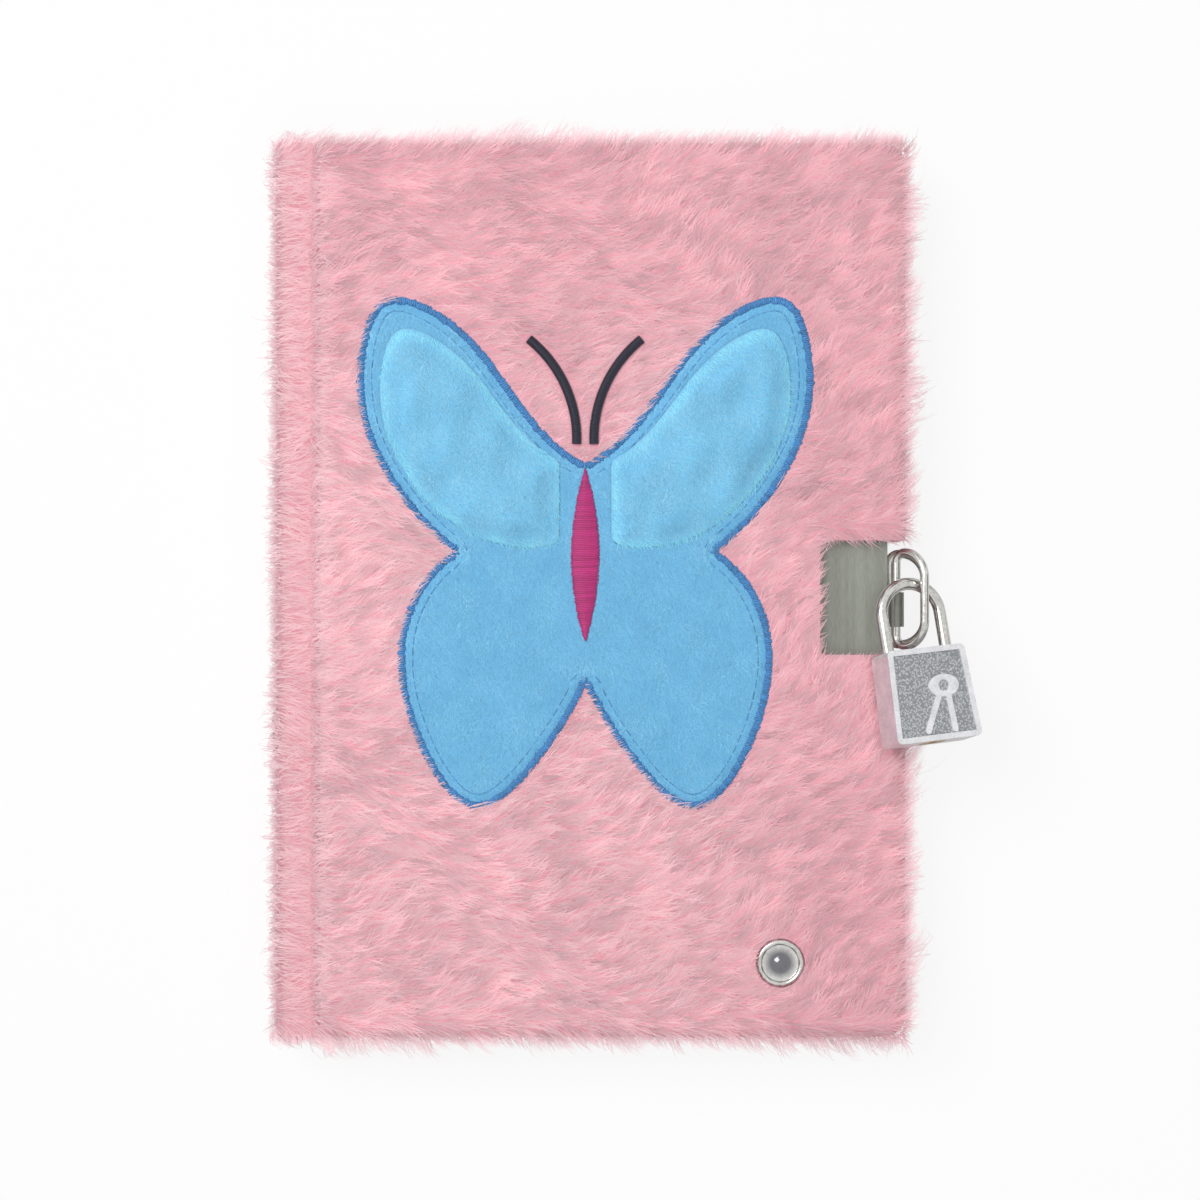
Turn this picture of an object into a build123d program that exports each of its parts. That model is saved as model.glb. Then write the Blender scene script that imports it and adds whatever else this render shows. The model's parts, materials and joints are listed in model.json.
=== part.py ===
from build123d import *
import math
import os

os.makedirs("parts", exist_ok=True)

# All sizes in millimetres, angles in degrees.
# The diary lies on its back cover: +Z up, +Y to the head of the page, spine at -X.

# Case boards and plush
board_width = 131.3
board_height = 199.0
board_thick = 2.0
back_pile = 3.5
front_pile = 3.5
wadding_thick = 1.2
edge_wrap = 4.0
cover_corner = 5.0
front_round = 3.0
back_round = 2.0

# Book block
page_square = 3.3
endpaper_thick = 0.25
leaf_thick = 0.3
turned_thick = 1.2
section_thick = 3.2
section_count = 4

# Spine and joint
hinge_x = -68.5
lining_thick = 0.4
hollow_gap = 1.0
spine_board_thick = 1.5
spine_pile = 2.5
joint_clear = 0.5
spine_drop = 0.3
crease_depth = 2.6
crease_offset = 2.0
cloth_clear = 0.05
joint_lift = 0.25
joint_arch = 0.875

# Lock window and hasp
window_depth = 15.9
window_low = -15.0
window_high = 11.5
window_round = 1.5
plate_tuck_in = 10.4
plate_tuck_side = 1.5
sheet_thick = 0.7
ring_wire = 1.0
bar_clear = 0.08
tongue_low = -8.5
tongue_high = -0.5
knuckle_gap = 0.15
rivet_radius = 1.25
rivet_clear = 0.05
rivet_head_radius = 2.4
rivet_head_thick = 0.5
rivet_inset = 3.0
rivet_spread = 14.0
fit_gap = 0.2

# D-rings
ring_length = 21.5
ring_depth = 8.5
ring_inner_bend = 2.4
ring_outer_bend = 5.8
ring_mid = -2.1
front_ring_tilt = 45.0

# Decorative stud
stud_in = 25.1
stud_up = 13.4
stud_radius = 5.5
stud_rim = 1.3
stud_height = 1.2
stud_floor = 0.6
stud_dome_radius = 1.7
stud_dome_height = 0.5
stud_sink = 0.6
stud_post_radius = 1.2
stud_washer_radius = 3.2
stud_washer_thick = 0.5

# Sewn butterfly
applique_shift = -6.45
applique_y = 6.9
patch_thick = 1.5
patch_sink = 1.2
neck_point = (0, 22)
upper_wing_points = [(15, 36), (34, 57), (46, 60), (52, 47), (46, 20)]
waist_point = (30, 2)
lower_wing_points = [(41, -12), (40, -38), (25, -57), (10, -45)]
tail_point = (0, -28)
flap_root_low = (6, 4)
flap_root_high = (6, 23)
flap_points = [(18, 33.5), (33, 50), (43, 53), (47, 44), (42, 21), (28, 7)]
flap_thick = 2.3
flap_corner = 2.0
flap_round = 0.8
flap_clear = 0.3
thorax_length = 40.0
thorax_width = 6.5
thorax_mid = 1.0
thorax_thick = 0.9
antenna_root = (2, 27)
antenna_bend = (5, 41)
antenna_tip = (13, 51)
antenna_width = 2.2
antenna_thick = 1.0

# Padlock
crown_out = 1.87
crown_along = 3.5
crown_above = 4.12
lock_yaw = 6.0
lock_roll = 20.0
lock_pitch = -8.0
case_top_width = 19.4
case_bottom_width = 21.4
case_height = 21.5
case_thick = 8.6
case_corner = 1.2
case_face = 0.9
case_end_wall = 1.2
case_side_wall = 0.8
rim_width = 1.3
rim_height = 0.5
shackle_wire = 1.4
leg_spread = 7.3
leg_above = 8.3
leg_clear = 0.1
heel_depth = 15.0
toe_depth = 7.95
notch_depth = 1.2
notch_low = 4.55
notch_high = 3.15
spring_radius = 1.0
spring_wire = 0.2
spring_turns = 6
spring_gap = 0.1
plug_radius = 3.2
plug_clear = 0.06
plug_top = -0.2
keyway_width = 1.2
keyway_height = 4.4
keyway_depth = 8.0
cam_radius = 2.2
cam_pin = 0.6
cam_pin_length = 3.7
plug_turn = 90.0
latch_gap = 2.0
latch_thick = 1.4
latch_back = 2.2
latch_front = 4.6
latch_width = 6.0
latch_arm = 1.4
nose_clear = 0.2
cam_slot_clear = 0.15
case_rivet_radius = 0.8
case_rivet_boss = 1.6
case_rivet_cover = 1.2
case_rivet_spots = [(-6.0, -4.0), (2.8, 6.8)]

# Key ornament on the padlock's face
ornament_height = 0.45
bow_x = 3.0
bow_y = 1.6
bow_length = 7.6
bow_width = 5.2
bow_hole = 1.3
blade_width = 1.4
first_blade = [(1.4, -0.6), (-2.6, -8.4)]
second_blade = [(3.8, -0.8), (4.2, -8.6)]

# Heights of the layers, from the back cover's underside up
back_board_low = back_pile
back_board_high = back_board_low + board_thick
block_low = back_board_high + endpaper_thick
sections_low = block_low + leaf_thick
sections_high = sections_low + section_count * section_thick
turning_low = sections_high
turned_low = turning_low + leaf_thick
flyleaf_low = turned_low + turned_thick
block_high = flyleaf_low + leaf_thick
front_board_low = block_high + endpaper_thick
front_board_high = front_board_low + board_thick
wadding_high = front_board_high + wadding_thick
front_high = wadding_high + front_pile
patch_low = front_high - patch_sink
patch_high = patch_low + patch_thick
flap_low = patch_high + flap_clear

# Edges across the book; every turning piece hinges at the block's upper spine corner
spine_board_out = hinge_x - hollow_gap - spine_board_thick
spine_out = spine_board_out - spine_pile
board_in = hinge_x + (hinge_x - spine_out) + joint_clear
board_out = board_in + board_width
plush_out = board_out + edge_wrap
plush_height = board_height + 2 * edge_wrap
page_out = board_out - page_square
page_height = board_height - 2 * page_square
spine_top = block_high - spine_drop

# Places on the front cover
stud_x = board_out - stud_in
stud_y = stud_up - board_height / 2
applique_x = (board_in + plush_out) / 2 + applique_shift

# Hasp places
window_in = board_out - window_depth
window_mid = (window_low + window_high) / 2
plate_in = window_in - plate_tuck_in
plate_length = window_high - window_low + 2 * plate_tuck_side
bar_radius = ring_wire + bar_clear
knuckle_radius = bar_radius + sheet_thick
bar_x = board_out + knuckle_gap + knuckle_radius
back_plate_low = back_board_low - sheet_thick
front_bar_z = front_board_high + knuckle_radius
back_bar_z = back_plate_low + knuckle_radius
rivet_x = plate_in + rivet_inset
rivet_spots = [(rivet_x, window_mid - rivet_spread / 2), (rivet_x, window_mid + rivet_spread / 2)]

# Padlock frame: right, up to the shackle's crown, out of the face
lock_tip = Vector(0, 0, 1).rotate(Axis.X, lock_pitch)
lock_right = Vector(1, 0, 0).rotate(Axis.Y, lock_roll).rotate(Axis.Z, lock_yaw)
lock_face = lock_tip.rotate(Axis.Y, lock_roll).rotate(Axis.Z, lock_yaw)
lock_up = lock_face.cross(lock_right)
case_half = case_height / 2
arc_height = case_half + leg_above
crown_height = arc_height + leg_spread
lock_crown = Vector(bar_x + crown_out, ring_mid + crown_along, front_bar_z + crown_above)
lock_centre = lock_crown - lock_up * crown_height
lock_plane = Plane(origin=lock_centre, x_dir=lock_right, z_dir=lock_face)


def lock_level(height):
    # Plane across the padlock at a height above the middle of its case
    return Plane(origin=lock_centre + lock_up * height, x_dir=lock_right, z_dir=lock_up)


def save(piece, label):
    piece.part.label = label
    export_step(piece.part, f"parts/{label}.step")


def slab(x_low, x_high, y_low, y_high, z_low, z_high):
    with BuildPart() as block:
        with BuildSketch(Plane.XY.offset(z_low)):
            with Locations(((x_low + x_high) / 2, (y_low + y_high) / 2)):
                Rectangle(x_high - x_low, y_high - y_low)
        extrude(amount=z_high - z_low)
    return block


def leaf(z_low, thick):
    return slab(hinge_x, page_out, -page_height / 2, page_height / 2, z_low, z_low + thick)


def endpaper(z_low):
    return slab(board_in, page_out, -page_height / 2, page_height / 2, z_low, z_low + endpaper_thick)


# Paper: the back flyleaf and sewn sections stay, the rest turns with the front cover
save(endpaper(back_board_high), "back_endpaper")
save(endpaper(block_high), "front_endpaper")
save(leaf(block_low, leaf_thick), "back_flyleaf")
for number in range(section_count):
    save(leaf(sections_low + number * section_thick, section_thick), f"page_section_{number + 1}")
save(leaf(turning_low, leaf_thick), "turning_leaf")
save(leaf(turned_low, turned_thick), "turned_leaves")
save(leaf(flyleaf_low, leaf_thick), "front_flyleaf")
spine_lining = slab(
    hinge_x - lining_thick, hinge_x, -page_height / 2, page_height / 2, block_low, sections_high
)
save(spine_lining, "spine_lining")

# Boards
with BuildPart() as back_board:
    with BuildSketch(Plane.XY.offset(back_board_low)):
        with Locations(((board_in + board_out) / 2, 0)):
            Rectangle(board_width, board_height)
        with Locations(*rivet_spots):
            Circle(rivet_radius + rivet_clear, mode=Mode.SUBTRACT)
    extrude(amount=board_thick)
save(back_board, "back_board")

with BuildPart() as front_board:
    with BuildSketch(Plane.XY.offset(front_board_low)):
        with Locations(((board_in + board_out) / 2, 0)):
            Rectangle(board_width, board_height)
        with Locations(*rivet_spots):
            Circle(rivet_radius + rivet_clear, mode=Mode.SUBTRACT)
        with Locations((stud_x, stud_y)):
            Circle(stud_post_radius + rivet_clear, mode=Mode.SUBTRACT)
    extrude(amount=board_thick)
    # Recess for the stud's washer, under the endpaper
    with BuildSketch(Plane.XY.offset(front_board_low)):
        with Locations((stud_x, stud_y)):
            Circle(stud_washer_radius + rivet_clear)
    extrude(amount=stud_washer_thick, mode=Mode.SUBTRACT)
save(front_board, "front_board")

spine_board = slab(
    spine_board_out, hinge_x - hollow_gap, -board_height / 2, board_height / 2, back_board_low, spine_top
)
save(spine_board, "spine_board")

# Plush over the spine, carried under the back joint
with BuildPart() as spine_plush:
    with BuildSketch(Plane(origin=(0, plush_height / 2, 0), x_dir=(1, 0, 0), z_dir=(0, -1, 0))):
        with BuildLine():
            Polyline(
                (board_in, joint_lift),
                (board_in, back_board_low),
                (spine_board_out, back_board_low),
                (spine_board_out, spine_top),
                (spine_out, spine_top),
                (spine_out, back_board_low),
            )
            RadiusArc((spine_out, back_board_low), (spine_board_out, joint_lift), -back_pile)
            ThreePointArc(
                (spine_board_out, joint_lift),
                ((spine_board_out + board_in) / 2, joint_arch),
                (board_in, joint_lift),
            )
        make_face()
    extrude(amount=plush_height)
save(spine_plush, "spine_plush")

# Cloth hinge: plush across the groove between the spine and the front board
crease_x = hinge_x + crease_offset
with BuildPart() as front_joint_cloth:
    with BuildSketch(Plane(origin=(0, plush_height / 2, 0), x_dir=(1, 0, 0), z_dir=(0, -1, 0))):
        with BuildLine():
            Polyline(
                (spine_out, spine_top + cloth_clear),
                (spine_board_out, spine_top + cloth_clear),
                (hinge_x - hollow_gap, front_board_low + cloth_clear),
                (board_in - cloth_clear, front_board_low + cloth_clear),
                (board_in - cloth_clear, front_high),
            )
            Spline(
                (board_in - cloth_clear, front_high),
                (crease_x, front_high - crease_depth),
                (spine_board_out, front_high - crease_depth / 2),
                (spine_out, wadding_high - crease_depth / 2),
                (spine_out, spine_top + cloth_clear),
            )
        make_face()
    extrude(amount=plush_height)
save(front_joint_cloth, "front_joint_cloth")

# Back plush: wraps the board's three free edges, with the lock window cut out
with BuildPart() as back_plush:
    with BuildSketch(Plane.XY):
        with Locations(((board_in + plush_out) / 2, 0)):
            Rectangle(plush_out - board_in, plush_height)
    extrude(amount=back_board_high)
    fillet(back_plush.edges().filter_by(Axis.Z).group_by(Axis.X)[-1], cover_corner)
    under_edges = back_plush.faces().sort_by(Axis.Z)[0].edges()
    fillet(under_edges.sort_by(Axis.X)[1:], back_round)
    with BuildSketch(Plane.XY.offset(back_board_low)):
        with Locations(((board_in + board_out) / 2, 0)):
            Rectangle(board_width, board_height)
    extrude(amount=board_thick, mode=Mode.SUBTRACT)
    with BuildSketch(Plane.XY):
        with Locations((window_in, window_mid)):
            Rectangle(plush_out, window_high - window_low, align=(Align.MIN, Align.CENTER))
    extrude(amount=back_board_high, mode=Mode.SUBTRACT)
    # Hollows for the hasp plate and its rivet heads
    with BuildSketch(Plane.XY.offset(back_plate_low)):
        with Locations((plate_in - fit_gap, window_mid)):
            Rectangle(
                board_out - plate_in + fit_gap,
                plate_length + 2 * fit_gap,
                align=(Align.MIN, Align.CENTER),
            )
    extrude(amount=sheet_thick, mode=Mode.SUBTRACT)
    with BuildSketch(Plane.XY.offset(back_plate_low)):
        with Locations(*rivet_spots):
            Circle(rivet_head_radius + fit_gap)
    extrude(amount=-rivet_head_thick, mode=Mode.SUBTRACT)
save(back_plush, "back_plush")

# Wadding on the front board, cut away round the hasp plate
with BuildPart() as front_wadding:
    with BuildSketch(Plane.XY.offset(front_board_high)):
        with Locations(((board_in + board_out) / 2, 0)):
            Rectangle(board_width, board_height)
        with Locations((plate_in - fit_gap, window_mid)):
            Rectangle(
                board_width,
                plate_length + 2 * fit_gap,
                align=(Align.MIN, Align.CENTER),
                mode=Mode.SUBTRACT,
            )
        with Locations((stud_x, stud_y)):
            Circle(stud_post_radius + rivet_clear, mode=Mode.SUBTRACT)
    extrude(amount=wadding_thick)
save(front_wadding, "front_wadding")

# Butterfly outline, drawn about its own middle
with BuildSketch() as butterfly:
    with BuildLine():
        Spline(neck_point, *upper_wing_points, waist_point)
        Spline(waist_point, *lower_wing_points, tail_point)
        Line(tail_point, neck_point)
    make_face()
    mirror(about=Plane.YZ)
butterfly_place = Plane(origin=(applique_x, applique_y, patch_low))
wing_reach = max(x for x, y in upper_wing_points)

# Front plush: wraps the board and wadding, with the window and the seats of what is sewn on
stud_low = front_high - stud_sink
with BuildPart() as front_plush:
    with BuildSketch(Plane.XY.offset(front_board_low)):
        with Locations(((board_in + plush_out) / 2, 0)):
            Rectangle(plush_out - board_in, plush_height)
    extrude(amount=front_high - front_board_low)
    fillet(front_plush.edges().filter_by(Axis.Z).group_by(Axis.X)[-1], cover_corner)
    upper_edges = front_plush.faces().sort_by(Axis.Z)[-1].edges()
    fillet(upper_edges.sort_by(Axis.X)[1:], front_round)
    with BuildSketch(Plane.XY.offset(front_board_low)):
        with Locations(((board_in + board_out) / 2, 0)):
            Rectangle(board_width, board_height)
    extrude(amount=board_thick + wadding_thick, mode=Mode.SUBTRACT)
    with BuildSketch(Plane.XY.offset(front_board_low)) as window:
        with Locations((window_in, window_mid)):
            Rectangle(plush_out, window_high - window_low, align=(Align.MIN, Align.CENTER))
        fillet(window.vertices().group_by(Axis.X)[0], window_round)
    extrude(amount=front_high - front_board_low, mode=Mode.SUBTRACT)
    with BuildSketch(butterfly_place):
        add(scale(butterfly.sketch, by=1 + fit_gap / wing_reach, mode=Mode.PRIVATE))
    extrude(amount=patch_sink, mode=Mode.SUBTRACT)
    with BuildSketch(Plane.XY.offset(wadding_high)):
        with Locations((stud_x, stud_y)):
            Circle(stud_post_radius + rivet_clear)
    extrude(amount=front_pile, mode=Mode.SUBTRACT)
    with BuildSketch(Plane.XY.offset(stud_low)):
        with Locations((stud_x, stud_y)):
            Circle(stud_radius + fit_gap)
    extrude(amount=stud_sink, mode=Mode.SUBTRACT)
save(front_plush, "front_plush")

# Appliqué: patch, embroidered body and antennae, two loose upper wings
with BuildPart() as butterfly_patch:
    with BuildSketch(butterfly_place):
        add(butterfly.sketch)
    extrude(amount=patch_thick)
save(butterfly_patch, "butterfly_patch")

with BuildPart() as butterfly_body:
    with BuildSketch(Plane(origin=(applique_x, applique_y + thorax_mid, patch_high))):
        with BuildLine():
            ThreePointArc((0, thorax_length / 2), (thorax_width / 2, 0), (0, -thorax_length / 2))
            ThreePointArc((0, -thorax_length / 2), (-thorax_width / 2, 0), (0, thorax_length / 2))
        make_face()
    extrude(amount=thorax_thick)
save(butterfly_body, "butterfly_body")

with BuildSketch() as antennae_outline:
    SlotArc(ThreePointArc(antenna_root, antenna_bend, antenna_tip, mode=Mode.PRIVATE), antenna_width)
    mirror(about=Plane.YZ)
with BuildPart() as butterfly_antennae:
    with BuildSketch(Plane(origin=(applique_x, applique_y, front_high))):
        add(antennae_outline.sketch)
    extrude(amount=antenna_thick)
save(butterfly_antennae, "butterfly_antennae")

for side, label in ((1, "right_wing_flap"), (-1, "left_wing_flap")):
    flap_edge = [(side * x, y) for x, y in (flap_root_high, *flap_points, flap_root_low)]
    with BuildPart() as wing_flap:
        with BuildSketch(Plane(origin=(applique_x, applique_y, flap_low))) as flap_outline:
            with BuildLine():
                Line(flap_edge[-1], flap_edge[0])
                Spline(*flap_edge)
            make_face()
            fillet(flap_outline.vertices(), flap_corner)
        extrude(amount=flap_thick)
        fillet(wing_flap.faces().sort_by(Axis.Z)[-1].edges(), flap_round)
    save(wing_flap, label)

# Stud: dished cap on the plush, post through the board, washer below
stud_axis = Plane(origin=(stud_x, stud_y, stud_low), x_dir=(1, 0, 0), z_dir=(0, -1, 0))
dome_sphere = (stud_dome_radius**2 + stud_dome_height**2) / (2 * stud_dome_height)
dome_half = math.asin(stud_dome_radius / dome_sphere) / 2
dome_middle = stud_floor + stud_dome_height - dome_sphere * (1 - math.cos(dome_half))
with BuildPart() as stud_cap:
    with BuildSketch(stud_axis):
        with BuildLine():
            Polyline(
                (0, stud_floor + stud_dome_height),
                (0, 0),
                (stud_radius, 0),
                (stud_radius, stud_floor),
            )
            ThreePointArc(
                (stud_radius, stud_floor),
                (stud_radius - stud_rim / 2, stud_height),
                (stud_radius - stud_rim, stud_floor),
            )
            Line((stud_radius - stud_rim, stud_floor), (stud_dome_radius, stud_floor))
            ThreePointArc(
                (stud_dome_radius, stud_floor),
                (dome_sphere * math.sin(dome_half), dome_middle),
                (0, stud_floor + stud_dome_height),
            )
        make_face()
    revolve(axis=Axis((stud_x, stud_y, 0), (0, 0, 1)))
save(stud_cap, "stud_cap")

with BuildPart() as stud_post:
    with BuildSketch(Plane.XY.offset(front_board_low)):
        with Locations((stud_x, stud_y)):
            Circle(stud_post_radius)
    extrude(amount=stud_low - front_board_low)
save(stud_post, "stud_post")

with BuildPart() as stud_washer:
    with BuildSketch(Plane.XY.offset(front_board_low)):
        with Locations((stud_x, stud_y)):
            Circle(stud_washer_radius)
            Circle(stud_post_radius + rivet_clear, mode=Mode.SUBTRACT)
    extrude(amount=stud_washer_thick)
save(stud_washer, "stud_washer")


def hasp_plate(z_low):
    # Sheet-steel plate whose tongue is rolled into a knuckle round the ring's bar
    with BuildPart() as plate:
        with BuildSketch(Plane.XY.offset(z_low)):
            with Locations((plate_in, window_mid)):
                Rectangle(board_out - plate_in, plate_length, align=(Align.MIN, Align.CENTER))
            with Locations((board_out, (tongue_low + tongue_high) / 2)):
                Rectangle(bar_x - board_out, tongue_high - tongue_low, align=(Align.MIN, Align.CENTER))
            with Locations(*rivet_spots):
                Circle(rivet_radius + rivet_clear, mode=Mode.SUBTRACT)
        extrude(amount=sheet_thick)
        knuckle_end = (bar_x, tongue_high, z_low + knuckle_radius)
        with BuildSketch(Plane(origin=knuckle_end, x_dir=(1, 0, 0), z_dir=(0, -1, 0))):
            Circle(knuckle_radius)
            Circle(bar_radius, mode=Mode.SUBTRACT)
        extrude(amount=tongue_high - tongue_low)
    return plate


def hasp_rivets(head_low, head_high, shank_low, shank_high):
    with BuildPart() as rivets:
        with BuildSketch(Plane.XY.offset(shank_low)):
            with Locations(*rivet_spots):
                Circle(rivet_radius)
        extrude(amount=shank_high - shank_low)
        with BuildSketch(Plane.XY.offset(head_low)):
            with Locations(*rivet_spots):
                Circle(rivet_head_radius)
        extrude(amount=head_high - head_low)
    return rivets


def hasp_ring(bar_z, tilt):
    # Closed D-ring: straight bar in the knuckle, wide bends at the outer side
    out = Vector(math.cos(math.radians(tilt)), 0, math.sin(math.radians(tilt)))
    ring_plane = Plane(origin=(bar_x, ring_mid, bar_z), x_dir=out, z_dir=out.cross(Vector(0, 1, 0)))
    half = ring_length / 2
    with BuildPart() as ring:
        with BuildLine(ring_plane) as ring_path:
            FilletPolyline(
                (0, half),
                (0, -half),
                (ring_depth, -half),
                (ring_depth, half),
                radius=[ring_inner_bend, ring_inner_bend, ring_outer_bend, ring_outer_bend],
                close=True,
            )
        with BuildSketch(Plane(ring_path.line ^ 0)):
            Circle(ring_wire)
        sweep()
    return ring


front_head_low = front_board_high + sheet_thick
save(hasp_plate(front_board_high), "front_hasp_plate")
save(hasp_plate(back_plate_low), "back_hasp_plate")
save(
    hasp_rivets(front_head_low, front_head_low + rivet_head_thick, front_board_low, front_head_low),
    "front_hasp_rivets",
)
save(
    hasp_rivets(back_plate_low - rivet_head_thick, back_plate_low, back_plate_low, back_board_high),
    "back_hasp_rivets",
)
save(hasp_ring(front_bar_z, front_ring_tilt), "front_ring")
save(hasp_ring(back_bar_z, 0), "back_ring")

# Padlock shackle: long heel at the right, notched and tapered toe at the left
toe_end = case_half - toe_depth
heel_end = case_half - heel_depth
notch_floor = -leg_spread + shackle_wire - notch_depth
notch_bottom = case_half - notch_low
notch_top = case_half - notch_high
cam_travel = 2 * cam_radius * math.sin(math.radians(plug_turn / 2))
taper_length = notch_depth * leg_above / cam_travel
with BuildPart() as shackle:
    with BuildLine(lock_plane) as shackle_path:
        Line((-leg_spread, toe_end), (-leg_spread, arc_height))
        ThreePointArc((-leg_spread, arc_height), (0, crown_height), (leg_spread, arc_height))
        Line((leg_spread, arc_height), (leg_spread, heel_end))
    with BuildSketch(lock_level(toe_end)):
        with Locations((-leg_spread, 0)):
            Circle(shackle_wire)
    sweep()
    with BuildSketch(lock_plane.offset(-shackle_wire)):
        with BuildLine():
            Polyline(
                (notch_floor, notch_top),
                (0, notch_top),
                (0, notch_bottom - taper_length),
                (notch_floor + notch_depth, notch_bottom - taper_length),
                (notch_floor, notch_bottom),
                close=True,
            )
        make_face()
    extrude(amount=2 * shackle_wire, mode=Mode.SUBTRACT)
save(shackle, "shackle")


def case_outline(inset):
    # Case face, a little wider at the foot, drawn in by an inset
    half_top = case_top_width / 2 - inset
    half_bottom = case_bottom_width / 2 - inset
    return [
        (-half_top, case_half - inset),
        (half_top, case_half - inset),
        (half_bottom, inset - case_half),
        (-half_bottom, inset - case_half),
    ]


# Pair of keys on one bow
with BuildSketch() as key_ornament:
    for blade in (first_blade, second_blade):
        SlotArc(Line(*blade, mode=Mode.PRIVATE), blade_width)
    with Locations((bow_x, bow_y)):
        Ellipse(bow_length / 2, bow_width / 2)
        Circle(bow_hole, mode=Mode.SUBTRACT)

# Case halves meet at the middle of the shackle's wire
half_thick = case_thick / 2
cavity_half = case_top_width / 2 - case_side_wall
cavity_top = case_half - case_end_wall
hollow_deep = half_thick - case_face
rivet_end = half_thick - case_rivet_cover
for facing, label in ((1, "lock_case_front"), (-1, "lock_case_back")):
    with BuildPart() as case_part:
        with BuildSketch(lock_plane) as face_outline:
            Polygon(*case_outline(0), align=None)
            fillet(face_outline.vertices(), case_corner)
        extrude(amount=facing * half_thick)
        with BuildSketch(lock_plane):
            Rectangle(2 * cavity_half, 2 * cavity_top)
            with Locations(*case_rivet_spots):
                Circle(case_rivet_boss, mode=Mode.SUBTRACT)
        extrude(amount=facing * hollow_deep, mode=Mode.SUBTRACT)
        with BuildSketch(lock_level(case_half)):
            with Locations((-leg_spread, 0), (leg_spread, 0)):
                Circle(shackle_wire + leg_clear)
        extrude(amount=-2 * case_end_wall, mode=Mode.SUBTRACT)
        with BuildSketch(lock_level(-case_half)):
            Circle(plug_radius + plug_clear)
        extrude(amount=2 * case_end_wall, mode=Mode.SUBTRACT)
        rivet_reach = rivet_end if facing == 1 else half_thick
        with BuildSketch(lock_plane):
            with Locations(*case_rivet_spots):
                Circle(case_rivet_radius + rivet_clear)
        extrude(amount=facing * rivet_reach, mode=Mode.SUBTRACT)
        if facing == 1:
            # Raised rim and a pair of raised keys on the face
            with BuildSketch(lock_plane.offset(half_thick)) as rim:
                Polygon(*case_outline(0), align=None)
                fillet(rim.vertices(), case_corner)
                Polygon(*case_outline(rim_width), align=None, mode=Mode.SUBTRACT)
            extrude(amount=rim_height)
            with BuildSketch(lock_plane.offset(half_thick)):
                add(key_ornament.sketch)
            extrude(amount=ornament_height)
    save(case_part, label)

with BuildPart() as case_rivets:
    with BuildSketch(lock_plane.offset(-half_thick)):
        with Locations(*case_rivet_spots):
            Circle(case_rivet_radius)
    extrude(amount=half_thick + rivet_end)
save(case_rivets, "case_rivets")

# Key plug with its keyway, and the cam pin that draws the latch
cam_start = math.radians(90 + plug_turn / 2)
with BuildPart() as lock_plug:
    with BuildSketch(lock_level(-case_half)):
        Circle(plug_radius)
    extrude(amount=case_half + plug_top)
    with BuildSketch(lock_level(-case_half)):
        Rectangle(keyway_width, keyway_height)
    extrude(amount=keyway_depth, mode=Mode.SUBTRACT)
    with BuildSketch(lock_level(plug_top)):
        with Locations((cam_radius * math.cos(cam_start), -cam_radius * math.sin(cam_start))):
            Circle(cam_pin)
    extrude(amount=cam_pin_length)
save(lock_plug, "lock_plug")

# Latch: slotted plate over the plug, with an arm and a nose in the toe's notch
latch_low = plug_top + latch_gap
latch_high = latch_low + latch_thick
nose_tip = notch_floor + nose_clear
nose_top = notch_top - nose_clear
nose_low = notch_bottom + nose_clear
cam_low = cam_radius * math.cos(math.radians(plug_turn / 2)) - cam_pin - cam_slot_clear
cam_high = cam_radius + cam_pin + cam_slot_clear
with BuildPart() as lock_latch:
    with BuildSketch(lock_plane.offset(-latch_width / 2)):
        with BuildLine():
            Polyline(
                (latch_back, latch_low),
                (latch_back, latch_high),
                (latch_arm - latch_front, latch_high),
                (latch_arm - latch_front, nose_top),
                (nose_tip, nose_top),
                (nose_tip, nose_low),
                (-latch_front, nose_low - (-latch_front - nose_tip) * leg_above / cam_travel),
                (-latch_front, latch_low),
                close=True,
            )
        make_face()
    extrude(amount=latch_width)
    with BuildSketch(lock_level(latch_low)):
        with Locations((cam_radius * math.cos(cam_start), -(cam_low + cam_high) / 2)):
            Rectangle(2 * (cam_pin + cam_slot_clear), cam_high - cam_low)
    extrude(amount=latch_thick, mode=Mode.SUBTRACT)
save(lock_latch, "lock_latch")

# Shackle spring between the case's floor and the heel
spring_length = heel_end + cavity_top - 2 * spring_gap
spring_height = spring_length - 2 * spring_wire
spring_pitch = spring_height / spring_turns
spring_rest = spring_gap + spring_wire - cavity_top
spring_foot = lock_centre + lock_right * leg_spread + lock_up * spring_rest
with BuildPart() as shackle_spring:
    with BuildLine():
        spring_path = Helix(spring_pitch, spring_height, spring_radius, spring_foot, lock_up)
    with BuildSketch(Plane(origin=spring_path @ 0, z_dir=spring_path % 0)):
        Circle(spring_wire)
    sweep(is_frenet=True)
save(shackle_spring, "shackle_spring")
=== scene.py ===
import json
import math

import bmesh
import bpy
import numpy as np
from mathutils import Matrix, Vector

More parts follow.
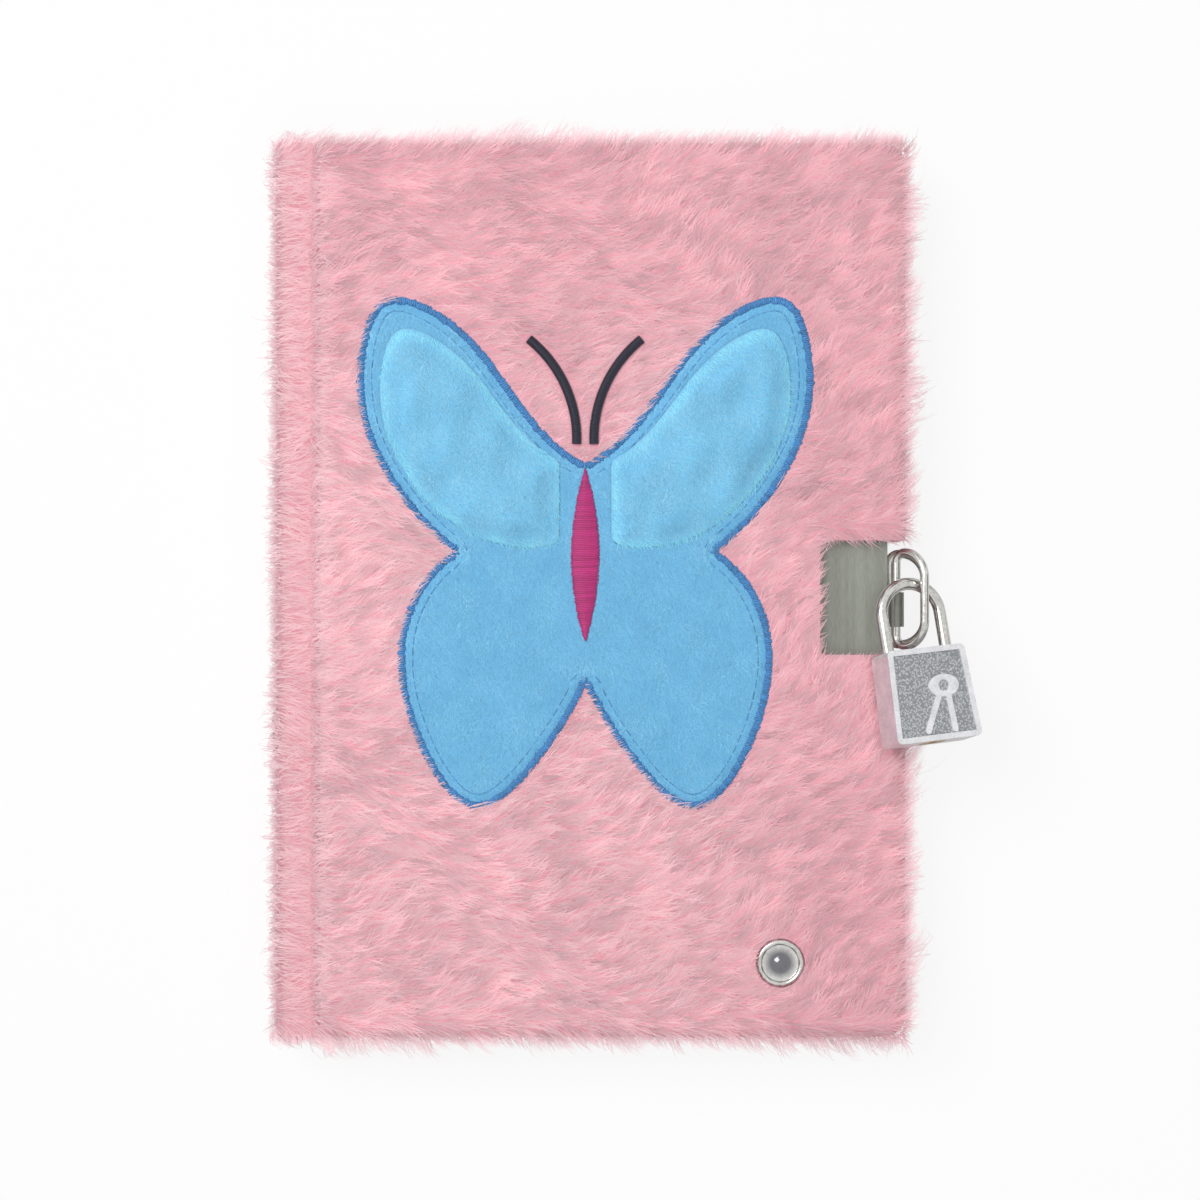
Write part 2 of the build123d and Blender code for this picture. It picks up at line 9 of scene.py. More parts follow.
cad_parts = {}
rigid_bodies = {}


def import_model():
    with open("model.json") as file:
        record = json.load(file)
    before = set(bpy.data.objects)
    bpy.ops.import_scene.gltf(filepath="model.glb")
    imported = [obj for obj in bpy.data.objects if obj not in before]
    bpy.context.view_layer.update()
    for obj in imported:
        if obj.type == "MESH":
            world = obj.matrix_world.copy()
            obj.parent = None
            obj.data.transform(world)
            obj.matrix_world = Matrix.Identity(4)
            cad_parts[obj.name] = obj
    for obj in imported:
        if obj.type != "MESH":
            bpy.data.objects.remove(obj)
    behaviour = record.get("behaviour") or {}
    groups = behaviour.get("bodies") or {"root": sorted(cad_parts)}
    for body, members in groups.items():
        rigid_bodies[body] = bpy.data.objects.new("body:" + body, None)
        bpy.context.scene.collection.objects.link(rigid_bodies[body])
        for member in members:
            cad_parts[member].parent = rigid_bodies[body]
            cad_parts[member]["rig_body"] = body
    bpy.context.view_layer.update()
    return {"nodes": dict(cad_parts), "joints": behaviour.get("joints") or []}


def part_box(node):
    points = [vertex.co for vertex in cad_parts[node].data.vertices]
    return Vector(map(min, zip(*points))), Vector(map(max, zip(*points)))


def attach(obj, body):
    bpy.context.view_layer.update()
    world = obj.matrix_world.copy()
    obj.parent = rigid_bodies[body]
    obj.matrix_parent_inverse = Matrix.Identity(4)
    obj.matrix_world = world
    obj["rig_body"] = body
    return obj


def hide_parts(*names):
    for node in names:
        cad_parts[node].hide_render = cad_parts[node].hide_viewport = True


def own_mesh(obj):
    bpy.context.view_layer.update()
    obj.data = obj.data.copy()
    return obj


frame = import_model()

scene = bpy.context.scene
mm = 0.001  # lengths below are in millimetres, those of the studio in metres
near = {"weld": 0.002, "padWeld": 0.001, "level": 0.01, "flatAngle": 0.01}
print("frame loaded")


# Small helpers

def linear(hexCode):
    parts = [int(hexCode[k:k + 2], 16) / 255 for k in (1, 3, 5)]
    return [c / 12.92 if c <= 0.04045 else ((c + 0.055) / 1.055) ** 2.4 for c in parts] + [1.0]


def dyed(hexCode):
    return np.array(linear(hexCode)[:3])


def camel(node):
    first, *rest = node.split("_")
    return first + "".join(word.capitalize() for word in rest)


def feed(node, socket, value):
    node.id_data.links.new(value, node.inputs[socket])


def addNode(tree, kind, inputs=None, **settings):
    node = tree.nodes.new("ShaderNode" + kind)
    for name, value in settings.items():
        setattr(node, name, value)
    for name, value in (inputs or {}).items():
        if isinstance(value, bpy.types.NodeSocket):
            feed(node, name, value)
        else:
            node.inputs[name].default_value = value
    return node


def nodeBox(node):
    low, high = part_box(node)
    return np.array(low) / mm, np.array(high) / mm


def dress(mesh, material):
    mesh.materials.clear()
    mesh.materials.append(material)


def addPiece(name, mesh, body, material, stands=()):
    piece = bpy.data.objects.new(name, mesh)
    scene.collection.objects.link(piece)
    dress(mesh, material)
    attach(piece, body)
    if stands:
        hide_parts(*stands)
    return piece


def finishMesh(bm, name, crease=40):
    mesh = bpy.data.meshes.new(name)
    bm.to_mesh(mesh)
    bm.free()
    mesh.shade_smooth()
    mesh.set_sharp_from_angle(angle=math.radians(crease))
    return mesh


def mergedCopy(node):
    bm = bmesh.new()
    bm.from_mesh(frame["nodes"][node].data)
    bmesh.ops.remove_doubles(bm, verts=bm.verts, dist=near["weld"] * mm)
    return bm


def plainCopy(node):
    # Flat faces in one piece, without the CAD mesh's triangles
    bm = mergedCopy(node)
    bmesh.ops.dissolve_limit(bm, angle_limit=near["flatAngle"], verts=bm.verts, edges=bm.edges)
    return bm


def cutAcross(bm, point, facing):
    everything = bm.verts[:] + bm.edges[:] + bm.faces[:]
    bmesh.ops.bisect_plane(bm, geom=everything, plane_co=point, plane_no=facing)


def topOutline(node, lowest=False):
    # Ordered edges of a CAD piece's upper (or lower) flat faces
    bm = mergedCopy(node)
    heights = [v.co.z for v in bm.verts]
    level = min(heights) if lowest else max(heights)
    off = [f for f in bm.faces if max(abs(v.co.z - level) for v in f.verts) > near["level"] * mm]
    bmesh.ops.delete(bm, geom=off, context="FACES")
    bm.edges.index_update()
    loops = []
    left = {e.index: e for e in bm.edges if e.is_boundary}  # in order, so that each run starts alike
    while left:
        edge = left.pop(min(left))
        loop = [edge.verts[0], edge.verts[1]]
        while True:
            onward = [e for e in loop[-1].link_edges if e.index in left]
            if not onward:
                break
            left.pop(onward[0].index)
            loop.append(onward[0].other_vert(loop[-1]))
        loops.append(np.array([v.co[:2] for v in loop[:-1]]) / mm)
    bm.free()
    return loops


def walkAlong(points):
    return np.concatenate([[0], np.cumsum(np.hypot(*np.diff(points, axis=0).T))])


def evenLoop(loop, spacing):
    # Evenly spaced points, their tangents and their inward directions
    closed = np.vstack([loop, loop[:1]])
    walk = walkAlong(closed)
    count = max(3, int(round(walk[-1] / spacing)))
    marks = np.linspace(0, walk[-1], count, endpoint=False)
    points = np.stack([np.interp(marks, walk, closed[:, k]) for k in (0, 1)], axis=1)
    area = np.sum(points[:, 0] * np.roll(points[:, 1], -1) - points[:, 1] * np.roll(points[:, 0], -1))
    if area < 0:
        points = points[::-1]
    tangent = np.roll(points, -1, axis=0) - np.roll(points, 1, axis=0)
    tangent /= np.hypot(*tangent.T)[:, None]
    inward = np.stack([-tangent[:, 1], tangent[:, 0]], axis=1)
    return points, tangent, inward


def insideLoop(x, y, loop):
    odd = np.zeros(x.shape, bool)
    for (ax, ay), (bx, by) in zip(loop, np.roll(loop, -1, axis=0)):
        crosses = (ay > y) != (by > y)
        odd ^= crosses & (x < (bx - ax) * (y - ay) / (by - ay + 1e-12) + ax)
    return odd


def loopDistance(x, y, loop):
    best = np.full(x.shape, 1e9)
    for a, b in zip(loop, np.roll(loop, -1, axis=0)):
        ex, ey = b - a
        t = np.clip(((x - a[0]) * ex + (y - a[1]) * ey) / (ex * ex + ey * ey + 1e-12), 0, 1)
        best = np.minimum(best, np.hypot(x - a[0] - t * ex, y - a[1] - t * ey))
    return best


def unit(rows):
    return rows / np.linalg.norm(rows, axis=-1, keepdims=True)


def smoothStep(value, low, high):
    t = np.clip((value - low) / (high - low), 0, 1)
    return t * t * (3 - 2 * t)


def startGain(pair, share):
    return pair[0] + pair[1] * share


def ripple(x, y, seed, lengths):
    # Smooth wandering field between about -1 and 1
    rng = np.random.default_rng(seed)
    total = np.zeros(np.shape(x))
    for length in lengths:
        turn, phase = rng.random(2) * 2 * math.pi
        total = total + np.sin((x * math.cos(turn) + y * math.sin(turn)) * 2 * math.pi / length + phase)
    return total / len(lengths)


# Finishes

weave = {"fineDetail": 3, "broadDetail": 2, "spots": (0.36, 0.64), "fibrePatch": 3, "fibreDetail": 1}
mixSockets = {"FLOAT": (2, 3, 0), "RGBA": (6, 7, 2)}  # first, second and result of a Mix node


def newFinish(name, sockets):
    material = bpy.data.materials.new(name)
    material.use_nodes = True
    shader = material.node_tree.nodes["Principled BSDF"]
    for socket, value in sockets.items():
        shader.inputs[socket.replace("_", " ")].default_value = value
    return material, material.node_tree, shader


def objectPlace(tree):
    return addNode(tree, "TexCoord").outputs["Object"]


def addMath(tree, operation, *values):
    return addNode(tree, "Math", dict(enumerate(values)), operation=operation).outputs[0]


def addNoise(tree, place, size, detail):
    noise = addNode(tree, "TexNoise", {"Vector": place, "Scale": 1 / (size * mm), "Detail": detail})
    return noise.outputs["Fac"]


def addRamp(tree, value, spots, colours):
    ramp = addNode(tree, "ValToRGB", {"Fac": value})
    for element, spot, colour in zip(ramp.color_ramp.elements, spots, colours):
        element.position = spot
        element.color = linear(colour)
    return ramp.outputs["Color"]


def addRange(tree, value, **ends):
    inputs = {"Value": value, **{name.replace("_", " "): end for name, end in ends.items()}}
    return addNode(tree, "MapRange", inputs).outputs["Result"]


def overlay(kind, share, node, socket, value):
    # Lays a value over what already feeds a socket, where share is 1
    one, two, result = mixSockets[kind]
    base = node.inputs[socket].links[0].from_socket
    laid = addNode(node.id_data, "Mix", {0: share, one: base, two: value}, data_type=kind)
    feed(node, socket, laid.outputs[result])


def finish(name, dark, light, grain, patch, bump, stretch=(1, 1, 1), rough=(0.6, 0.8), **sockets):
    # Grain and patch are pattern sizes in millimetres, bump is the relief's depth
    material, tree, shader = newFinish(name, sockets)
    spread = addNode(tree, "Mapping", {"Vector": objectPlace(tree), "Scale": stretch}).outputs["Vector"]
    fine = addNoise(tree, spread, grain, weave["fineDetail"])
    broad = addNoise(tree, spread, patch, weave["broadDetail"])
    half = addMath(tree, "MULTIPLY", addMath(tree, "ADD", fine, broad), 0.5)
    feed(shader, "Base Color", addRamp(tree, half, weave["spots"], (dark, light)))
    feed(shader, "Roughness", addRange(tree, broad, To_Min=rough[0], To_Max=rough[1]))
    relief = addNode(tree, "Bump", {"Height": fine, "Distance": bump * mm, "Strength": 1.0})
    feed(shader, "Normal", relief.outputs["Normal"])
    return material


def tintedFinish(name, rough, paintedGlow=0.0, **sockets):
    # Colour comes from the piece's own tint attribute, fibre by fibre
    material, tree, shader = newFinish(name, sockets)
    tint = addNode(tree, "Attribute", attribute_name="tint").outputs["Color"]
    feed(shader, "Base Color", tint)
    broad = addNoise(tree, objectPlace(tree), weave["fibrePatch"], weave["fibreDetail"])
    feed(shader, "Roughness", addRange(tree, broad, To_Min=rough[0], To_Max=rough[1]))
    if paintedGlow:
        # Painted glow: fibres standing clear of the cloth emit their own tint, in place of light passing through
        # them
        through = addNode(tree, "Attribute", attribute_name="through").outputs["Fac"]
        feed(shader, "Emission Color", tint)
        feed(shader, "Emission Strength", addMath(tree, "MULTIPLY", through, paintedGlow))
        material.cycles.emission_sampling = "NONE"  # too faint to count as lamps
    return material


def ruledFinish(name, paper, light, ruling):
    # Uncoated book paper with writing lines printed on its faces, none on the cut edges
    material = finish(name, paper, light, 0.5, 40, 0.01, rough=(0.75, 0.85))
    tree = material.node_tree
    where = addNode(tree, "TexCoord").outputs
    spot = addNode(tree, "SeparateXYZ", {0: where["Object"]}).outputs["Y"]
    face = addNode(tree, "SeparateXYZ", {0: where["Normal"]}).outputs["Z"]
    row = addMath(tree, "FLOORED_MODULO", spot, ruling["spacing"] * mm)
    onLine = addMath(tree, "LESS_THAN", row, ruling["line"] * mm)
    flat = addMath(tree, "GREATER_THAN", addMath(tree, "ABSOLUTE", face), ruling["facing"])
    share = addMath(tree, "MULTIPLY", onLine, flat)
    overlay("RGBA", share, tree.nodes["Principled BSDF"], "Base Color", linear(ruling["ink"]))
    return material


def castFinish(name, stipple):
    # Bright casting, stippled and duller where the piece's field attribute is 1
    material = finish(name, "#D4D5D8", "#EFEFF1", 0.5, 3, 0.004, rough=(0.3, 0.42), Metallic=0.6)
    tree = material.node_tree
    shader = tree.nodes["Principled BSDF"]
    field = addNode(tree, "Attribute", attribute_name="field").outputs["Fac"]
    cells = addNode(tree, "TexVoronoi", {"Vector": objectPlace(tree), "Scale": 1 / (stipple["size"] * mm)})
    grain = cells.outputs["Distance"]
    overlay("RGBA", field, shader, "Base Color", addRamp(tree, grain, stipple["spots"], stipple["colours"]))
    overlay("FLOAT", field, shader, "Roughness", stipple["rough"])
    relief = shader.inputs["Normal"].links[0].from_node
    overlay("FLOAT", field, relief, "Height", addMath(tree, "MULTIPLY", grain, stipple["relief"]))
    return material


def studFinish(name, middle, dark, inner, outer):
    # Bright cap, with painted shade darkening it inside the inner radius, clear of it from the outer one
    material = finish(name, **brightNickel)
    tree = material.node_tree
    flat = addNode(tree, "Mapping", {"Vector": objectPlace(tree), "Scale": (1, 1, 0),
                                               "Location": (-middle[0] * mm, -middle[1] * mm, 0)})
    away = addNode(tree, "VectorMath", {0: flat.outputs["Vector"]}, operation="LENGTH").outputs["Value"]
    share = addRange(tree, away, From_Min=outer * mm, From_Max=inner * mm)
    overlay("RGBA", share, tree.nodes["Principled BSDF"], "Base Color", linear(dark))
    return material


studLow, studHigh = nodeBox("stud_cap")
studMid = (studLow + studHigh)[:2] / 2
studRadius = (studHigh - studLow)[0] / 2
brightNickel = {"dark": "#B9B8B4", "light": "#DAD9D5", "grain": 0.8, "patch": 6, "bump": 0.004,
                "rough": (0.1, 0.24), "Metallic": 1.0}
ruling = {"ink": "#B7C6D8", "spacing": 7.1, "line": 0.28, "facing": 0.7}
stipple = {"size": 0.5, "spots": (0.15, 0.6), "colours": ("#CDCFD0", "#8F9295"), "rough": 0.4, "relief": -12.0}
finishes = {
    # Brushed polyester faux fur: matt, with a soft sheen where fibres turn, and a painted glow where they stand
    # clear
    "fur": tintedFinish("fauxFurPile", (0.65, 0.8), paintedGlow=0.2, Sheen_Weight=0.25, Sheen_Roughness=0.5,
                        Specular_IOR_Level=0.2),
    # Knitted backing that shows between the fibres
    "backing": finish("knitBacking", "#D899A5", "#E6B4BE", 0.5, 12, 0.15, Sheen_Weight=0.2),
    # Short polyester plush: pressed patches lie darker, fibre tips catch light
    "blue": finish("shortPlushBlue", "#62AEDB", "#86C8EA", 0.45, 7, 0.12, Sheen_Weight=0.4, Sheen_Roughness=0.4),
    "paleBlue": finish("shortPlushPaleBlue", "#74BCE4", "#97D1EF", 0.5, 6, 0.14, Sheen_Weight=0.4,
                       Sheen_Roughness=0.4),
    "nap": tintedFinish("shortPlushNap", (0.6, 0.75), Sheen_Weight=0.3, Sheen_Roughness=0.4,
                        Specular_IOR_Level=0.25),
    # Rayon embroidery thread: smooth filaments with a silky highlight
    "thread": tintedFinish("rayonThread", (0.35, 0.5), Sheen_Weight=0.2),
    # Rolled sheet steel with a satin face, fine lines along its length
    "satinSteel": finish("satinSheetSteel", "#7C7E77", "#94978F", 0.3, 9, 0.006, stretch=(3, 0.15, 1),
                         rough=(0.38, 0.5), Metallic=1.0),
    # Bright nickel over steel wire
    "nickel": finish("brightNickelWire", **brightNickel),
    # Nickelled stud cap, its centre darkened as painted shade
    "stud": studFinish("nickelledStud", studMid, "#77767B", 0.4 * studRadius, 0.7 * studRadius),
    # Nickelled zinc casting, tumbled bright, its stipple drawn coarse enough to show
    "zinc": castFinish("nickelledZincCasting", stipple),
    # Turned brass, dulled by handling
    "brass": finish("turnedBrass", "#A58340", "#CDAE67", 0.3, 3, 0.004, rough=(0.25, 0.4), Metallic=1.0),
    # Zinc-plated mild steel
    "plated": finish("zincPlatedSteel", "#8F949A", "#B5B9BD", 0.4, 4, 0.004, rough=(0.25, 0.4), Metallic=1.0),
    # Uncoated writing paper with pale ruling
    "paper": ruledFinish("ruledWritingPaper", "#F3EEE2", "#FBF8F0", ruling),
    "plainPaper": finish("plainWritingPaper", "#F1ECE0", "#FAF7EF", 0.4, 30, 0.01, rough=(0.75, 0.85)),
    # Dyed endpaper with a soft mottle
    "endpaper": finish("dyedEndpaper", "#F0C3CB", "#F6D3D9", 0.6, 14, 0.01, rough=(0.7, 0.8)),
    # Recycled binder's board with dark flecks
    "board": finish("binderBoard", "#8F8A81", "#B0AA9F", 0.7, 5, 0.03, rough=(0.8, 0.9)),
    # Open cotton mull glued over the sewn backs
    "mull": finish("cottonMull", "#DDD6C6", "#F2EDDF", 0.5, 4, 0.06, rough=(0.85, 0.95)),
    # Carded polyester wadding
    "wadding": finish("polyesterWadding", "#E9E8E4", "#F8F8F6", 0.6, 5, 0.3, rough=(0.9, 0.95)),
}
print("finishes made:", len(finishes))


# Repeated small shapes: one template, copied by a placing function

def strandTemplate(sides, cuts, pointed=True):
    bm = bmesh.new()
    bmesh.ops.create_cone(bm, cap_ends=True, segments=sides, radius1=1, radius2=1, depth=1)
    bmesh.ops.translate(bm, verts=bm.verts, vec=(0, 0, 0.5))
    for height in cuts:
        cutAcross(bm, (0, 0, height), (0, 0, 1))
    if pointed:
        tip = [v for v in bm.verts if v.co.z > 1 - near["level"]]
        bmesh.ops.pointmerge(bm, verts=tip, merge_co=(0, 0, 1))
    bmesh.ops.triangulate(bm, faces=bm.faces)
    bmesh.ops.recalc_face_normals(bm, faces=bm.faces)
    bm.verts.index_update()
    corners = np.array([v.co[:] for v in bm.verts])
    faces = np.array([[v.index for v in f.verts] for f in bm.faces])
    bm.free()
    return corners, faces


longStrand = strandTemplate(3, (0.38, 0.72))
napStrand = strandTemplate(3, ())
shortStrand = strandTemplate(3, (0.5,))
stitchForm = strandTemplate(5, (0.12, 0.5, 0.88), pointed=False)


def copiesMesh(name, template, points, colours, normals=None, through=None):
    corners, faces = template
    count = len(points)
    triangles = (faces[None] + (np.arange(count) * len(corners))[:, None, None]).reshape(-1, 3)
    mesh = bpy.data.meshes.new(name)
    mesh.vertices.add(count * len(corners))
    mesh.vertices.foreach_set("co", (points * mm).astype(np.float32).ravel())
    mesh.loops.add(triangles.size)
    mesh.loops.foreach_set("vertex_index", triangles.astype(np.int32).ravel())
    mesh.polygons.add(len(triangles))
    mesh.polygons.foreach_set("loop_start", np.arange(0, triangles.size, 3, dtype=np.int32))
    mesh.update(calc_edges=True)
    tint = mesh.color_attributes.new("tint", "FLOAT_COLOR", "POINT")
    full = np.concatenate([np.clip(colours, 0, 1), np.ones(colours.shape[:2] + (1,))], axis=2)
    tint.data.foreach_set("color", full.astype(np.float32).ravel())
    if through is not None:
        shares = mesh.attributes.new("through", "FLOAT", "POINT")
        shares.data.foreach_set("value", through.astype(np.float32).ravel())
    mesh.shade_smooth()
    if normals is not None:
        mesh.normals_split_custom_set(normals.reshape(-1, 3).astype(np.float32))
    return mesh


# Camera and light, from the photograph: straight down, 0.2308 mm to a pixel at the cover

shot = {"x": 1.6, "y": -2.3, "height": 800.0, "coverTop": 27.6, "pixel": 0.2308, "pixels": 1200, "sensor": 36}
camera = bpy.data.cameras.new("camera")
camera.sensor_width = shot["sensor"]
camera.lens = shot["sensor"] * (shot["height"] - shot["coverTop"]) / (shot["pixels"] * shot["pixel"])
cameraObject = bpy.data.objects.new("camera", camera)
cameraObject.location = (shot["x"] * mm, shot["y"] * mm, shot["height"] * mm)
scene.collection.objects.link(cameraObject)
scene.camera = cameraObject
scene.view_settings.view_transform = "Standard"

white = (1, 1, 1, 1)
studio = {"key": (0.6, 6.0, (-0.45, 0.35, 0.95)), "softbox": (1.6, 11.0, (0.1, -0.1, 1.4)), "fill": 0.22,
          "floorHalf": 2, "floorTone": (0.9, 0.9, 0.9, 1), "floorRough": 0.9, "floorGlow": 0.85}
for name in ("key", "softbox"):
    size, power, spot = studio[name]
    lamp = bpy.data.lights.new(name, "AREA")
    lamp.size = size
    lamp.energy = power
    lampObject = bpy.data.objects.new(name, lamp)
    lampObject.visible_glossy = name == "key"
    lampObject.location = spot
    lampObject.rotation_euler = (-Vector(spot)).to_track_quat("-Z", "Y").to_euler()
    scene.collection.objects.link(lampObject)

world = bpy.data.worlds.new("studio")
world.use_nodes = True
scene.world = world
sky = world.node_tree
path = addNode(sky, "LightPath").outputs
seen = addMath(sky, "MAXIMUM", path["Is Camera Ray"], path["Is Glossy Ray"])
seen = addMath(sky, "MAXIMUM", seen, path["Is Transmission Ray"])
backdrop = sky.nodes["Background"]
backdrop.inputs["Color"].default_value = white
feed(backdrop, "Strength", addRange(sky, seen, To_Min=studio["fill"], To_Max=1.0))


def addStage(name, bm, material):
    mesh = bpy.data.meshes.new(name)
    bm.to_mesh(mesh)
    bm.free()
    stand = bpy.data.objects.new(name, mesh)
    scene.collection.objects.link(stand)
    dress(mesh, material)
    return stand


bm = bmesh.new()
bmesh.ops.create_grid(bm, x_segments=1, y_segments=1, size=studio["floorHalf"])
sweep, tree, paint = newFinish("whiteSweep", {"Base Color": studio["floorTone"], "Roughness": studio["floorRough"]})
glow = addNode(tree, "Emission", {"Color": white, "Strength": 1.0})
path = addNode(tree, "LightPath").outputs
share = addMath(tree, "MULTIPLY", path["Is Camera Ray"], studio["floorGlow"])
mixed = addNode(tree, "MixShader", {0: share, 1: paint.outputs[0], 2: glow.outputs[0]})
feed(tree.nodes["Material Output"], "Surface", mixed.outputs[0])
addStage("floor", bm, sweep)

# Grey cards standing round the set, seen only in the metal
cards = {"radius": 0.45, "low": 0.02, "high": 0.24, "count": 9, "tone": 0.2}
bm = bmesh.new()
bmesh.ops.create_cone(bm, cap_ends=False, segments=cards["count"] * 2, radius1=cards["radius"],
                      radius2=cards["radius"], depth=cards["high"] - cards["low"])
bmesh.ops.translate(bm, verts=bm.verts, vec=(0, 0, (cards["high"] + cards["low"]) / 2))
bmesh.ops.delete(bm, geom=[f for k, f in enumerate(bm.faces) if k % 2], context="FACES")
card = newFinish("greyCard", {"Base Color": (0, 0, 0, 1), "Emission Color": white,
                              "Emission Strength": cards["tone"]})[0]
cardRing = addStage("greyCards", bm, card)
for ray in ("camera", "diffuse", "shadow", "transmission", "volume_scatter"):
    setattr(cardRing, f"visible_{ray}", False)
print("camera and light set")


# Padlock frame, from the joints

joints = {j["name"]: j for j in frame["joints"]}
lockCentre = np.array(joints["lock_plug_turn"]["pos_m"]) / mm
lockUp = np.array(joints["lock_plug_turn"]["axis"])
lockRight = np.array(joints["latch_slide"]["axis"])
lockFace = np.array(joints["padlock_swing"]["axis"])


# Plush covers

cover = {"halfLength": 103.5, "frontRound": 3.0, "backRound": 2.0, "spineRound": 0.4, "hingeRound": 0.5,
         "floorGap": 0.8, "windowIn": 52.4, "windowLow": -15.0, "windowHigh": 11.5, "windowHang": 1.9,
         "studHang": 0.4, "feelerClear": 0.25, "spineTurn": 3.0, "rimTurn": 1.6, "turnIn": 6}
# Shape of the fibres: lock values go with whole locks, the others with single fibres
coat = {"lockLong": 2.6, "lockWide": 1.7, "warpU": (0.9, 0.9, 1.3, 0.31), "warpV": (0.7, 0.8, 1.1, 0.27),
        "locks": 4096, "lockHash": (7919, 104729), "lockTurn": 0.7, "lockReach": (0.75, 0.5), "lockRise": (0.6, 0.8),
        "turn": 0.16, "fanFrom": -9, "fanTo": 1, "fanTurn": 1.3, "tuft": 0.75, "tuftWaves": (9, (8, 13, 21, 34)),
        "width": 0.15, "widthVary": (0.8, 1.25), "flat": 0.25, "curl": 0.16, "bow": 1.15, "taper": 1.6,
        "rootLift": 0.05, "gather": 0.62, "stray": 0.05, "strayRise": 1.5, "strayWidth": 0.7, "strayGather": 0.1,
        "lowest": 0.03}
trim = {"vary": (0.1, 1.7), "rounds": 5, "marks": (0.4, 0.55, 0.7, 0.85, 1.0), "reach": 0.6, "curl": 0.5,
        "gather": 0.7}
soften = {"tip": 0.4, "side": 0.5, "level": (1, 1, 0.3)}
# Fur colours: the darker root paints the shade deep in the pile, the pale colour paints light shining through the
# fringe
furColourAndPaintedLight = {"root": "#DBA5AF", "tip": "#EED0D4", "blend": 0.7, "broad": 0.06, "waves": (5, (23, 31, 47)), "lock": 0.4,
       "fibre": 0.04, "foreEdge": (10, 55), "head": (25, 85), "pale": "#FDE8EB", "fringe": 0.7, "clear": (-1.5, 2.8)}
press = {"caseHalf": 4.3, "gap": 0.35, "halfWide": 20, "halfHigh": 17, "down": 1, "ease": 5}

frontLow, frontHigh = nodeBox("front_plush")
backLow, backHigh = nodeBox("back_plush")
spineLow = nodeBox("spine_plush")[0]
clothLow, clothHigh = nodeBox("front_joint_cloth")
patchLoop = topOutline("butterfly_patch")[0]
patchEdge = evenLoop(patchLoop, 1.5)[0]
feelerEdges = [evenLoop(loop, 1.0)[0] for loop in topOutline("butterfly_antennae")]


def corner(cx, cz, radius, startDeg, endDeg, steps=6):
    turns = np.radians(np.linspace(startDeg, endDeg, steps))
    return [(cx + radius * math.cos(a), cz + radius * math.sin(a)) for a in turns]


def sheetSurface(line, halfLength, rounding, probe=0.7):
    # Cloth carried along a line in XZ and turned over at both ends
    line = np.array(line)
    walk = walkAlong(line)
    flat = halfLength - rounding

    def along(u):
        return [np.interp(u, walk, line[:, k]) for k in (0, 1)]

    def point(u, v, lift):
        x, z = along(u)
        dx, dz = (after - before for after, before in zip(along(u + probe), along(u - probe)))
        size = np.hypot(dx, dz) + 1e-9
        over = np.maximum(np.abs(v) - flat, 0)
        turn = np.minimum(over / rounding, math.pi / 2)
        inward = rounding * (1 - np.cos(turn)) + over - turn * rounding
        y = np.sign(v) * (np.minimum(np.abs(v), flat) + (rounding + lift) * np.sin(turn))
        rise = lift * np.cos(turn) - inward
        return np.stack([x - dz / size * rise, y, z + dx / size * rise], axis=-1)

    return point, walk[-1], flat + rounding * math.pi / 2


def wander(along, across, size, pitch, twist, slow):
    return along + size * np.sin(across * pitch + twist * np.sin(along * slow))


def pressUnderLock(points):
    # Fur under the padlock and its swing lies flat below the case
    offset = points - lockCentre
    right, up, face = (offset @ axis for axis in (lockRight, lockUp, lockFace))
    share = (smoothStep(press["halfWide"] - np.abs(right), 0, press["ease"])
             * smoothStep(press["halfHigh"] - np.abs(up + press["down"]), 0, press["ease"]))
    above = np.maximum(face - (-press["caseHalf"] - press["gap"]), 0)
    return points - (share * above)[..., None] * lockFace


